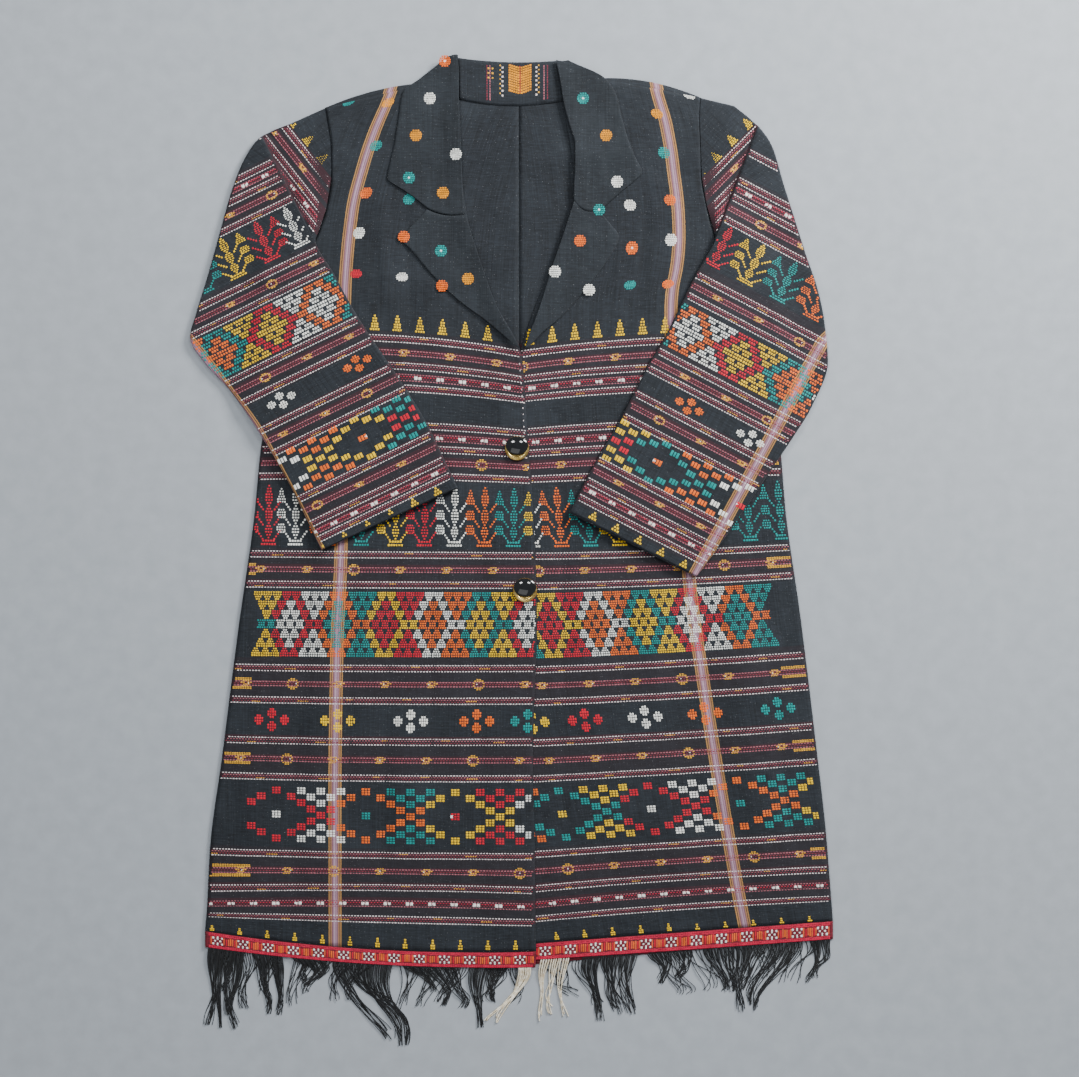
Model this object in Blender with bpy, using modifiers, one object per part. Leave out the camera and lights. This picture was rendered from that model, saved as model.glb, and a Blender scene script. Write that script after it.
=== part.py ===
"""Long tailored jacket of banded hand-woven cloth with a fringed hem, buttoned and laid flat.

The jacket lies front up on a level surface, its collar toward +Y and its sleeves bent
forward over the fronts. Right and left are the wearer's, so the wearer's right is at -X.
All sizes are in millimetres until the last step, which turns them into metres. In the
tables x is measured from the centre front and y from the lowest point of the hem.
"""
import math
from collections import namedtuple

import bmesh
import bpy

# Units
MM = 0.001

# Cloth and the gaps between its layers
WALL = 1.2
COLLAR_WALL = 1.5
LAYER_GAP = 0.4
SEAM_GAP = 0.3
CENTRE_BACK = -1.0

# The front's grid
COLUMNS = 18
ROW_STEP = 42.0
BACK_COLUMNS = 6
BACK_ROW_STEP = 90.0

# The collar's fall lies under the back, which climbs over it near the shoulders
CLIMB_START = 785.0
CLIMB_END = 815.0
CLIMB = WALL + LAYER_GAP

# The wearer's right front crosses over the left one and climbs over its edge
OVERLAP_START = -52.0
OVERLAP_END = -20.0
OVERLAP_CLIMB = WALL + LAYER_GAP

# The left front lies plain where the right one crosses it, and its folds start beyond
PLAIN_TO = 20.0
PLAIN_FADE = 30.0

# Hem tape
TAPE_HEIGHT = 16.5

# Collar and lapels turn up from their roll line
ROLL_LIFT = 2.2
ROLL_REACH = 14.0
COLLAR_COLUMNS = 7
STAND_COLUMNS = 8
FALL_COLUMNS = 12

# Sleeves, as flattened tubes
SLEEVE_HEIGHT = 5.2
SLEEVE_COLUMNS = 10
SLEEVE_CLEAR = 0.9
SLEEVE_LOW = 0.4
SLEEVE_HOLD = 17.0
SLEEVE_RAMP = 30.0
ARMHOLE_GAP = 0.8
PIVOT_Y = 727.0

# Buttons: a domed cap in a turned rim
BUTTON_RADIUS = 12.2
BUTTON_HEIGHT = 6.4
BUTTON_STEPS = 20

# Fringe
STRIP_DEPTH = 2.2
STRIP_HEIGHT = 1.0
STRAND_WIDTH = 1.6
STRAND_TIP = 0.9
STRAND_STEPS = 4
STRIP_END = 3.0
TIP_WANDER = 6.0
WANDER_TURN = 2.4
BACK_STRIP_MIDDLE = 0.85
FRONT_STRIP_LIFT = 0.2

# A row of the weave, from a panel's inner edge through its middle to its outer edge
Row = namedtuple("Row", "inner_x inner_y mid_x mid_y outer_x outer_y")

# A soft fold: a ridge from one end to the other, with its half width and its height
Fold = namedtuple("Fold", "top_x top_y bottom_x bottom_y half_width height")

# A ring of a flattened sleeve, from its inner edge to its outer edge
Ring = namedtuple("Ring", "inner_x inner_y outer_x outer_y")

# A lock of fringe: its first and last root, how many strands, its first and last tip
Lock = namedtuple("Lock", "first_x last_x strands tip_first_x tip_last_x tip_y curl")

FRONT_RIGHT = [
    Row(16, 16, -150, 18, -315, 36),
    Row(15, 114, -145, 115, -310, 119),
    Row(13, 207, -140, 207, -298, 210),
    Row(17, 342, -135, 342, -281, 343),
    Row(14, 447, -130, 449, -266, 450),
    Row(8.5, 525, -125, 533, -258, 531),
    Row(2, 615, -110, 630, -235, 632),
    Row(-26, 667, -120, 677, -232, 676),
    Row(-36, 695, -125, 699, -230, 697),
    Row(-46, 725, -124, 730, -204, 727),
    Row(-54, 757, -122, 761, -193, 758),
    Row(-58, 789, -124, 791, -188, 789),
    Row(-60, 822, -125, 821, -188, 820),
    Row(-61, 849, -126, 845, -191, 842),
    Row(-74, 887, -132, 874, -194, 859),
]

FRONT_LEFT = [
    Row(-6, 22, 150, 34, 313, 46),
    Row(-6, 111, 145, 122, 306, 133),
    Row(-7, 205, 145, 213, 296, 223),
    Row(-9, 340, 130, 345, 280, 354),
    Row(-12, 447, 125, 450, 266, 455),
    Row(-14, 526, 120, 535, 259, 537),
    Row(-1, 617, 110, 629, 237, 634),
    Row(18, 667, 120, 675, 228, 680),
    Row(29, 692, 125, 697, 225, 697),
    Row(41, 727, 120, 729, 196, 727),
    Row(52, 762, 120, 762, 186, 762),
    Row(54, 789, 118, 790, 181, 791),
    Row(50, 822, 116, 822, 180, 822),
    Row(46, 849, 114, 849, 179, 849),
    Row(52, 893, 120, 881, 180, 869),
]

# The hem's lower edge on each side, below the tape
HEM_RIGHT = Row(15.5, 0, -150, 3, -315, 20)
HEM_LEFT = Row(-6, 6, 150, 16, 313, 28)

# The centre back seam, a height for each row of the fronts
SEAM_HEIGHTS = [18, 113, 206, 342, 448, 527, 617, 668, 694, 727, 759, 789, 822, 848]

# The shoulders and the back of the neck
BACK_TOP_RIGHT = Row(CENTRE_BACK, 869, -95, 884, -194, 859)
BACK_TOP_LEFT = Row(CENTRE_BACK, 869, 90, 889, 180, 869)

FOLDS_RIGHT = [
    Fold(-182, 520, -212, 50, 24, 2.0),
    Fold(-104, 440, -112, 40, 22, 1.5),
    Fold(-64, 610, -66, 130, 20, 1.1),
    Fold(-246, 400, -276, 70, 20, 1.2),
    Fold(-150, 800, -128, 590, 24, 1.2),
]

FOLDS_LEFT = [
    Fold(208, 430, 250, 70, 24, 2.0),
    Fold(132, 400, 160, 50, 22, 1.6),
    Fold(64, 560, 74, 90, 20, 1.2),
    Fold(146, 800, 108, 600, 22, 1.2),
]

COLLAR_RIGHT = [
    Row(-62, 911, -67, 911, -73, 909),
    Row(-61, 890, -80, 890, -100, 888),
    Row(-61, 868, -89, 868, -117, 874),
    Row(-60, 845, -90, 846, -121, 850),
    Row(-59, 820, -92, 821, -125, 825),
    Row(-58, 795, -93, 796, -130, 803),
    Row(-57, 770, -92, 770, -133, 789),
    Row(-55, 752.5, -91, 757.5, -131.5, 786),
]

COLLAR_LEFT = [
    Row(36, 906, 42, 905, 48, 906),
    Row(40, 886, 62, 886, 84, 889),
    Row(44, 862, 70, 862, 96, 872),
    Row(50, 840, 78, 840, 102, 848),
    Row(55, 822, 82, 820, 108, 828),
    Row(55, 800, 86, 797, 115, 810),
    Row(54, 781, 86, 776, 122, 796),
    Row(54, 766, 80, 757, 121, 792),
]

LAPEL_RIGHT = [
    Row(1, 618, -0.5, 618.5, -2, 619),
    Row(-8, 631, -13, 632, -18, 633),
    Row(-17, 648, -26, 647, -35, 647),
    Row(-26, 667, -45, 665, -62, 667),
    Row(-36, 695, -62, 692, -88, 692),
    Row(-45, 722, -77, 718, -108, 716),
    Row(-50, 738, -83, 732, -117, 725),
    Row(-55, 751, -75, 750.5, -93, 756),
]

LAPEL_LEFT = [
    Row(5, 618, 6.5, 618.5, 8, 619),
    Row(10, 634, 16, 634, 22, 634),
    Row(18, 655, 30, 653, 41, 650),
    Row(26, 680, 46, 675, 64, 676),
    Row(33, 703, 60, 697, 84, 702),
    Row(41, 726, 70, 717, 99, 729),
    Row(48, 747, 74, 738, 98, 748),
    Row(54, 763, 75, 752, 95, 762),
]

STAND = [
    Row(-58.5, 868, -12, 861, 36, 866),
    Row(-58.5, 888, -12, 883, 35, 887),
    Row(-58.5, 909, -12, 904.5, 34, 906),
]

FALL = [
    Row(-122, 845, -10, 825, 96, 851),
    Row(-119, 860, -11, 865, 94, 867),
    Row(-116, 875, -13, 904.5, 92, 883),
]

SLEEVE_RIGHT = [
    Ring(-204.3, 724.5, -230, 843),
    Ring(-203.4, 722, -258, 831),
    Ring(-202, 719, -275, 809),
    Ring(-200, 715, -288, 777),
    Ring(-197, 710, -300, 735),
    Ring(-193, 704, -312, 692),
    Ring(-187, 695, -323, 656),
    Ring(-181, 684, -330, 629),
    Ring(-173, 669, -316, 605),
    Ring(-160, 647, -292, 579),
    Ring(-143, 621, -274, 555),
    Ring(-125, 595, -256, 527),
    Ring(-110, 572, -239, 499),
    Ring(-95, 547, -226, 475),
    Ring(-80, 517, -213, 448),
    Ring(-62, 479, -198, 417),
]

SLEEVE_LEFT = [
    Ring(194.2, 724.5, 214, 861),
    Ring(193.2, 722, 238, 841),
    Ring(191.5, 719, 252, 821),
    Ring(189, 715, 263, 785),
    Ring(186, 710, 275, 747),
    Ring(182, 703, 286, 712),
    Ring(176, 693, 297, 680),
    Ring(169, 679, 304, 648),
    Ring(157, 654, 308, 605),
    Ring(144, 628, 293, 563),
    Ring(130, 605, 273, 530),
    Ring(115, 576, 252, 499),
    Ring(100, 547, 232, 469),
    Ring(85, 521, 214, 443),
    Ring(70, 495, 196, 417),
    Ring(49, 454, 176, 390),
]

FOLDS_SLEEVE_RIGHT = [
    Fold(-270, 700, -215, 690, 16, 0.9),
    Fold(-285, 640, -190, 655, 15, 0.9),
    Fold(-262, 560, -180, 610, 14, 0.7),
]

FOLDS_SLEEVE_LEFT = [
    Fold(262, 700, 205, 690, 16, 0.9),
    Fold(275, 640, 175, 650, 15, 0.9),
    Fold(245, 560, 160, 600, 14, 0.7),
]

# Buttons, by their centres on the wearer's right front
BUTTON_PLACES = {"button_upper": (-3, 518.5), "button_lower": (5, 377)}

LOCKS_FRONT_RIGHT = [
    Lock(-312, -276, 9, -312, -284, -67, -2),
    Lock(-268, -238, 5, -262, -236, -56, 4),
    Lock(-228, -196, 6, -226, -200, -22, 8),
    Lock(-188, -128, 9, -136, -106, -80, -6),
    Lock(-118, -62, 7, -96, -54, -48, 6),
    Lock(-50, -12, 5, -44, -20, -66, -5),
]

LOCKS_FRONT_LEFT = [
    Lock(62, 118, 7, 74, 120, -60, -4),
    Lock(128, 172, 5, 132, 168, -18, 5),
    Lock(182, 282, 12, 205, 238, -46, 0),
    Lock(290, 310, 3, 286, 300, -18, 4),
]

LOCKS_CREAM_RIGHT = [
    Lock(-2, 11, 4, -32, -22, -60, 4),
]

LOCKS_CREAM_LEFT = [
    Lock(20, 50, 6, 18, 48, -62, -4),
]

LOCKS_BACK = [
    Lock(-306, -240, 7, -302, -250, -52, 3),
    Lock(-226, -140, 8, -236, -160, -40, -4),
    Lock(-124, -50, 6, -130, -72, -58, 5),
    Lock(-38, 10, 5, -40, 2, -52, 3),
    Lock(24, 110, 7, 38, 118, -50, -5),
    Lock(126, 300, 11, 150, 280, -30, 5),
]

# Colours as linear red, green and blue
BLACK_CLOTH = (0.016, 0.019, 0.023)
BANDED_CLOTH = (0.045, 0.028, 0.034)
TAPE_RED = (0.42, 0.03, 0.05)
THREAD_BLACK = (0.010, 0.011, 0.013)
THREAD_CREAM = (0.62, 0.52, 0.38)
BUTTON_GOLD = (0.62, 0.47, 0.18)


def smooth_step(value):
    """Eases from 0 to 1 while value goes from 0 to 1."""
    value = max(0.0, min(1.0, value))
    return value * value * (3 - 2 * value)


def across(row, share):
    """The point of a row at a share of the way out, on the smooth curve through its three points."""
    first = (1 - share) * (1 - 2 * share)
    middle = 4 * share * (1 - share)
    last = share * (2 * share - 1)
    x = first * row.inner_x + middle * row.mid_x + last * row.outer_x
    y = first * row.inner_y + middle * row.mid_y + last * row.outer_y
    return x, y


def between(first, last, share):
    """A row part of the way from one row to the next."""
    return Row(*(a + (b - a) * share for a, b in zip(first, last)))


def finer(rows, step):
    """The rows, with more between them wherever two lie further apart than the step."""
    result = [rows[0]]
    for first, last in zip(rows, rows[1:]):
        count = max(1, math.ceil(abs(last.mid_y - first.mid_y) / step))
        for i in range(1, count + 1):
            result.append(between(first, last, i / count))
    return result


def ridge(fold, x, y):
    """Height of one soft fold at a point."""
    along_x = fold.bottom_x - fold.top_x
    along_y = fold.bottom_y - fold.top_y
    length = math.hypot(along_x, along_y)
    share = ((x - fold.top_x) * along_x + (y - fold.top_y) * along_y) / length ** 2
    aside = ((x - fold.top_x) * along_y - (y - fold.top_y) * along_x) / length
    fade = smooth_step(share * 4) * smooth_step((1 - share) * 4)
    return fold.height * fade * math.exp(-(aside / fold.half_width) ** 2)


def relief(folds, x, y):
    """Height of all the folds of a panel at a point."""
    return sum(ridge(fold, x, y) for fold in folds)


def climb(y):
    """How far the collar's fall lifts the back at this height on the jacket."""
    return CLIMB * smooth_step((y - CLIMB_START) / (CLIMB_END - CLIMB_START))


def back_under(x, y):
    """Height of the underside of the back."""
    return climb(y)


def front_left_under(x, y):
    """Height of the underside of the wearer's left front."""
    clear_of_overlap = smooth_step((x - PLAIN_TO) / PLAIN_FADE)
    return climb(y) + WALL + LAYER_GAP + relief(FOLDS_LEFT, x, y) * clear_of_overlap


def front_right_under(x, y):
    """Height of the underside of the wearer's right front, which crosses over the left."""
    lift = OVERLAP_CLIMB * smooth_step((x - OVERLAP_START) / (OVERLAP_END - OVERLAP_START))
    fade = 1 - smooth_step((x - OVERLAP_START) / (OVERLAP_END - OVERLAP_START))
    return climb(y) + WALL + LAYER_GAP + lift + relief(FOLDS_RIGHT, x, y) * fade


def new_object(name, mesh_builder, colour, roughness, collection, metallic=0.0):
    """Puts a finished bmesh in an object with a material of its own."""
    mesh = bpy.data.meshes.new(name)
    mesh_builder.to_mesh(mesh)
    mesh_builder.free()
    material = bpy.data.materials.new(name)
    material.use_nodes = True
    shader = material.node_tree.nodes["Principled BSDF"]
    shader.inputs["Base Color"].default_value = (*colour, 1.0)
    shader.inputs["Roughness"].default_value = roughness
    shader.inputs["Metallic"].default_value = metallic
    mesh.materials.append(material)
    made = bpy.data.objects.new(name, mesh)
    collection.objects.link(made)
    return made


def thicken(made, wall, offset):
    """Gives an open surface its wall: offset 1 adds it outside the surface and -1 inside."""
    shell = made.modifiers.new("wall", "SOLIDIFY")
    shell.thickness = wall * MM
    shell.offset = offset
    shell.use_even_offset = True
    return made


def face_up(builder):
    """Turns a surface's faces so that its highest one looks up."""
    builder.normal_update()
    highest = max(builder.faces, key=lambda face: face.calc_center_median().z)
    if highest.normal.z < 0:
        bmesh.ops.reverse_faces(builder, faces=builder.faces)


def lay_panel(name, rows, columns, under, wall, colour, collection):
    """Makes a cloth panel from its rows: its underside as a grid, thickened upward."""
    builder = bmesh.new()
    grid = []
    for row in rows:
        line = []
        for i in range(columns + 1):
            x, y = across(row, i / columns)
            line.append(builder.verts.new((x * MM, y * MM, under(x, y) * MM)))
        grid.append(line)
    for lower, upper in zip(grid, grid[1:]):
        for i in range(columns):
            builder.faces.new((lower[i], lower[i + 1], upper[i + 1], upper[i]))
    face_up(builder)
    made = new_object(name, builder, colour, 0.9, collection)
    return thicken(made, wall, 1)


def back_rows(front_rows, top_row, side):
    """Rows of one half of the back, out to the front's side edge and in to the centre seam."""
    seam = CENTRE_BACK + side * SEAM_GAP / 2
    rows = []
    for row, inner_y in zip(front_rows, SEAM_HEIGHTS):
        middle_y = (inner_y + row.outer_y) / 2
        rows.append(Row(seam, inner_y, (seam + row.outer_x) / 2, middle_y, row.outer_x, row.outer_y))
    rows.append(top_row._replace(inner_x=seam))
    return rows


def seam_below(row):
    """The row just below a seam line."""
    return row._replace(inner_y=row.inner_y - SEAM_GAP, mid_y=row.mid_y - SEAM_GAP,
                        outer_y=row.outer_y - SEAM_GAP)


def back_tape_rows(side):
    """Lower and upper edge of the tape on one half of the back's hem."""
    front = FRONT_RIGHT if side < 0 else FRONT_LEFT
    hem = HEM_RIGHT if side < 0 else HEM_LEFT
    top = seam_below(back_rows(front, front[-1], side)[0])
    bottom = top._replace(inner_y=top.inner_y - TAPE_HEIGHT, mid_y=top.mid_y - TAPE_HEIGHT,
                          outer_y=hem.outer_y)
    return [bottom, top]


def build_body(collection):
    """The back in two halves, the two fronts, and the woven tape along each hem."""
    for name, front, top, side in (("right", FRONT_RIGHT, BACK_TOP_RIGHT, -1),
                                   ("left", FRONT_LEFT, BACK_TOP_LEFT, 1)):
        rows = finer(back_rows(front, top, side), BACK_ROW_STEP)
        lay_panel("back_" + name, rows, BACK_COLUMNS, back_under, WALL, BLACK_CLOTH, collection)
    lay_panel("front_right", finer(FRONT_RIGHT, ROW_STEP), COLUMNS, front_right_under, WALL,
              BANDED_CLOTH, collection)
    lay_panel("front_left", finer(FRONT_LEFT, ROW_STEP), COLUMNS, front_left_under, WALL,
              BANDED_CLOTH, collection)
    lay_panel("hem_tape_front_right", [HEM_RIGHT, seam_below(FRONT_RIGHT[0])], COLUMNS,
              front_right_under, WALL, TAPE_RED, collection)
    lay_panel("hem_tape_front_left", [HEM_LEFT, seam_below(FRONT_LEFT[0])], COLUMNS,
              front_left_under, WALL, TAPE_RED, collection)
    for name, side in (("right", -1), ("left", 1)):
        lay_panel("hem_tape_back_" + name, back_tape_rows(side), COLUMNS, back_under, WALL,
                  TAPE_RED, collection)


def turned_up(under, rows):
    """Underside of a collar or lapel on its front: it lifts toward the roll line."""
    def height(x, y):
        roll_x = roll_line(rows, y)
        away = abs(x - roll_x)
        lift = ROLL_LIFT * math.exp(-(away / ROLL_REACH) ** 2)
        return under(x, y) + WALL + LAYER_GAP + lift
    return height


def roll_line(rows, y):
    """The x of a collar piece's inner edge at this height on the jacket."""
    ordered = sorted(rows, key=lambda row: row.inner_y)
    if y <= ordered[0].inner_y:
        return ordered[0].inner_x
    for low, high in zip(ordered, ordered[1:]):
        if y <= high.inner_y:
            share = (y - low.inner_y) / (high.inner_y - low.inner_y)
            return low.inner_x + (high.inner_x - low.inner_x) * share
    return ordered[-1].inner_x


def build_collar(collection):
    """The collar's two leaves, stand and fall, and the lapels, each on what carries it."""
    pieces = (("collar_leaf_right", COLLAR_RIGHT, front_right_under),
              ("collar_leaf_left", COLLAR_LEFT, front_left_under),
              ("lapel_right", LAPEL_RIGHT, front_right_under),
              ("lapel_left", LAPEL_LEFT, front_left_under))
    for name, rows, under in pieces:
        lay_panel(name, rows, COLLAR_COLUMNS, turned_up(under, rows), COLLAR_WALL,
                  BLACK_CLOTH, collection)

    def on_back(x, y):
        return CLIMB + WALL + LAYER_GAP

    def on_surface(x, y):
        return 0.0

    lay_panel("collar_stand", STAND, STAND_COLUMNS, on_back, WALL, BLACK_CLOTH,
              collection)
    lay_panel("collar_fall", FALL, FALL_COLUMNS, on_surface, WALL, BLACK_CLOTH,
              collection)


def distance_to_segment(x, y, start, end):
    """Distance in plan from a point to a segment."""
    along_x = end[0] - start[0]
    along_y = end[1] - start[1]
    share = ((x - start[0]) * along_x + (y - start[1]) * along_y) / (along_x ** 2 + along_y ** 2)
    share = max(0.0, min(1.0, share))
    return math.hypot(x - start[0] - share * along_x, y - start[1] - share * along_y)


def outside_body(x, y, rows):
    """How far a point lies outside the part of the body that a sleeve crosses."""
    edge = [(row.outer_x, row.outer_y) for row in rows if row.outer_y <= PIVOT_Y]
    edge.sort(key=lambda point: -point[1])
    side = math.copysign(1, edge[0][0])
    if y <= PIVOT_Y:
        for upper, lower in zip(edge, edge[1:]):
            if lower[1] <= y <= upper[1]:
                share = (y - lower[1]) / (upper[1] - lower[1])
                if x * side <= (lower[0] + (upper[0] - lower[0]) * share) * side:
                    return 0.0
    outline = [(0.0, PIVOT_Y)] + edge
    return min(distance_to_segment(x, y, a, b) for a, b in zip(outline, outline[1:]))


def sleeve_floor(under, rows):
    """Underside of a sleeve: on its front, and down to the surface beyond the side."""
    def height(x, y):
        on_body = under(x, y) + WALL + SLEEVE_CLEAR
        away = smooth_step((outside_body(x, y, rows) - SLEEVE_HOLD) / SLEEVE_RAMP)
        return on_body + (SLEEVE_LOW - on_body) * away
    return height


def armhole_line(rows, side):
    """The sleeve's first line, along the armhole edge of its front and a seam away from it."""
    points = [(row.outer_x + side * ARMHOLE_GAP, row.outer_y) for row in rows if row.outer_y >= PIVOT_Y]
    lengths = [0.0]
    for first, last in zip(points, points[1:]):
        lengths.append(lengths[-1] + math.dist(first, last))

    def place(share):
        wanted = share * lengths[-1]
        for i in range(len(points) - 1):
            if wanted <= lengths[i + 1] or i == len(points) - 2:
                part = (wanted - lengths[i]) / (lengths[i + 1] - lengths[i])
                return (points[i][0] + (points[i + 1][0] - points[i][0]) * part,
                        points[i][1] + (points[i + 1][1] - points[i][1]) * part)
    return place


def straight_line(ring):
    """The line across a sleeve at one of its rings."""
    def place(share):
        return (ring.inner_x + (ring.outer_x - ring.inner_x) * share,
                ring.inner_y + (ring.outer_y - ring.inner_y) * share)
    return place


def ring_points(place, floor, folds):
    """Points of a flattened ring: along the top, round the outer edge, back below, and round."""
    inner = place(0.0)
    outer = place(1.0)
    width = math.dist(inner, outer)
    radius = SLEEVE_HEIGHT / 2
    inset = radius / width
    shares = [inset + (1 - 2 * inset) * i / SLEEVE_COLUMNS for i in range(SLEEVE_COLUMNS + 1)]

    def top(share):
        x, y = place(share)
        return x, y, floor(x, y) + SLEEVE_HEIGHT + relief(folds, x, y)

    def bottom(share):
        x, y = place(share)
        return x, y, floor(x, y)

    def edge(share_at, end, turn):
        x, y = place(share_at)
        away_x = (end[0] - x) / radius
        away_y = (end[1] - y) / radius
        reach = radius * math.sin(turn)
        return (x + away_x * reach, y + away_y * reach,
                floor(x, y) + radius + radius * math.cos(turn))

    quarters = [math.pi * step / 4 for step in (1, 2, 3)]
    points = [top(share) for share in shares]
    points += [edge(shares[-1], outer, turn) for turn in quarters]
    points += [bottom(share) for share in reversed(shares)]
    points += [edge(shares[0], inner, turn) for turn in reversed(quarters)]
    return points


def build_sleeve(name, rows, rings, folds, under, side, collection):
    """One sleeve as an open tube through its rings, with its wall inside."""
    floor = sleeve_floor(under, rows)
    lines = [armhole_line(rows, side)] + [straight_line(ring) for ring in rings]
    builder = bmesh.new()
    loops = []
    for place in lines:
        loops.append([builder.verts.new((x * MM, y * MM, z * MM))
                      for x, y, z in ring_points(place, floor, folds)])
    for first, last in zip(loops, loops[1:]):
        for i in range(len(first)):
            after = (i + 1) % len(first)
            builder.faces.new((first[i], first[after], last[after], last[i]))
    face_up(builder)
    made = new_object(name, builder, BANDED_CLOTH, 0.9, collection)
    return thicken(made, WALL, -1)


def build_button(name, x, y, collection):
    """A button turned from its profile: a low back, a rounded rim and a domed cap."""
    profile = [(0.0, 1.0), (0.30, 0.96), (0.56, 0.82), (0.70, 0.66), (0.76, 0.70), (0.84, 0.72),
               (0.93, 0.62), (1.0, 0.42), (0.97, 0.18), (0.82, 0.0), (0.0, 0.0)]
    builder = bmesh.new()
    points = [builder.verts.new((share * BUTTON_RADIUS * MM, 0.0, height * BUTTON_HEIGHT * MM))
              for share, height in profile]
    for first, last in zip(points, points[1:]):
        builder.edges.new((first, last))
    made = new_object(name, builder, BUTTON_GOLD, 0.25, collection, metallic=0.8)
    turn = made.modifiers.new("turn", "SCREW")
    turn.axis = "Z"
    turn.angle = 2 * math.pi
    turn.steps = BUTTON_STEPS
    turn.render_steps = BUTTON_STEPS
    turn.use_merge_vertices = True
    turn.merge_threshold = 0.00001
    made.location = (x * MM, y * MM, (front_right_under(x, y) + WALL + SEAM_GAP) * MM)
    return made


def hem_height(hem, x):
    """The hem's y at this x, on the curve of its row."""
    low = 0.0
    high = 1.0
    rising = hem.outer_x > hem.inner_x
    for _ in range(40):
        share = (low + high) / 2
        if (across(hem, share)[0] < x) == rising:
            low = share
        else:
            high = share
    return across(hem, share)[1]


def strand_path(root, tip, curl, lift):
    """Centre points of a strand from its root to its tip, with its sideways curl."""
    points = []
    for i in range(1, STRAND_STEPS + 1):
        share = i / STRAND_STEPS
        x = root[0] + (tip[0] - root[0]) * smooth_step(share) + curl * math.sin(math.pi * share)
        y = root[1] + (tip[1] - root[1]) * share
        points.append((x, y, lift))
    return points


def add_strand(builder, root_ring, root, tip, curl, lift):
    """Grows a four-sided strand out of its root's four corners."""
    path = [(root[0], root[1], lift)] + strand_path(root, tip, curl, lift)
    ring = root_ring
    for i in range(1, len(path)):
        before = path[i - 1]
        here = path[i]
        after = path[min(i + 1, len(path) - 1)]
        along_x = after[0] - before[0]
        along_y = after[1] - before[1]
        length = math.hypot(along_x, along_y)
        share = i / (len(path) - 1)
        half = (STRAND_WIDTH + (STRAND_TIP - STRAND_WIDTH) * share) / 2
        tall = (STRIP_HEIGHT + (STRAND_TIP * 0.8 - STRIP_HEIGHT) * share) / 2
        side_x = -along_y / length * half
        side_y = along_x / length * half
        corners = [(-1, -1), (1, -1), (1, 1), (-1, 1)]
        new_ring = [builder.verts.new(((here[0] + a * side_x) * MM, (here[1] + a * side_y) * MM,
                                       (here[2] + b * tall) * MM)) for a, b in corners]
        for k in range(4):
            after_k = (k + 1) % 4
            builder.faces.new((ring[k], ring[after_k], new_ring[after_k], new_ring[k]))
        ring = new_ring
    builder.faces.new(ring)


def build_fringe(name, locks, hem_y, middle_z, colour, collection):
    """Strands grown out of a narrow strip that lies just below the hem."""
    strands = []
    for lock in locks:
        for i in range(lock.strands):
            share = i / (lock.strands - 1)
            x = lock.first_x + (lock.last_x - lock.first_x) * share
            tip_x = lock.tip_first_x + (lock.tip_last_x - lock.tip_first_x) * share
            tip_y = lock.tip_y + TIP_WANDER * math.sin(WANDER_TURN * i + lock.first_x)
            strands.append((x, (tip_x, tip_y), lock.curl))
    strands.sort(key=lambda strand: strand[0])
    stations = [strands[0][0] - STRIP_END]
    for x, tip, curl in strands:
        stations += [x - STRAND_WIDTH / 2, x + STRAND_WIDTH / 2]
    stations.append(strands[-1][0] + STRIP_END)
    builder = bmesh.new()
    sections = []
    for x in stations:
        top = hem_y(x) - LAYER_GAP
        sections.append([builder.verts.new((x * MM, (top - depth) * MM, (middle_z + up) * MM))
                         for depth, up in ((STRIP_DEPTH, -STRIP_HEIGHT / 2), (0, -STRIP_HEIGHT / 2),
                                           (0, STRIP_HEIGHT / 2), (STRIP_DEPTH, STRIP_HEIGHT / 2))])
    for i, (first, last) in enumerate(zip(sections, sections[1:])):
        for k in range(4):
            after = (k + 1) % 4
            is_root = k == 3 and i % 2 == 1
            if not is_root:
                builder.faces.new((first[k], last[k], last[after], first[after]))
    builder.faces.new(sections[0])
    builder.faces.new(list(reversed(sections[-1])))
    for i, (x, tip, curl) in enumerate(strands):
        left = sections[2 * i + 1]
        right = sections[2 * i + 2]
        root_y = hem_y(x) - LAYER_GAP - STRIP_DEPTH
        root_ring = [left[0], right[0], right[3], left[3]]
        add_strand(builder, root_ring, (x, root_y), tip, curl, middle_z)
    bmesh.ops.recalc_face_normals(builder, faces=builder.faces)
    return new_object(name, builder, colour, 0.7, collection)


def build_fringes(collection):
    """The fringe under each front, its two cream tassels, and the fringe under the back."""
    front_z = WALL + LAYER_GAP + WALL / 2 + FRONT_STRIP_LIFT

    def right_hem(x):
        return hem_height(HEM_RIGHT, x)

    def left_hem(x):
        return hem_height(HEM_LEFT, x)

    def back_hem(x):
        return hem_height(back_tape_rows(-1 if x < CENTRE_BACK else 1)[0], x) - SEAM_GAP

    build_fringe("fringe_front_right", LOCKS_FRONT_RIGHT, right_hem, front_z, THREAD_BLACK, collection)
    build_fringe("fringe_front_left", LOCKS_FRONT_LEFT, left_hem, front_z, THREAD_BLACK, collection)
    build_fringe("fringe_cream_right", LOCKS_CREAM_RIGHT, right_hem, front_z + OVERLAP_CLIMB,
                 THREAD_CREAM, collection)
    build_fringe("fringe_cream_left", LOCKS_CREAM_LEFT, left_hem, front_z, THREAD_CREAM, collection)
    build_fringe("fringe_back", LOCKS_BACK, back_hem, BACK_STRIP_MIDDLE, THREAD_BLACK, collection)


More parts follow.
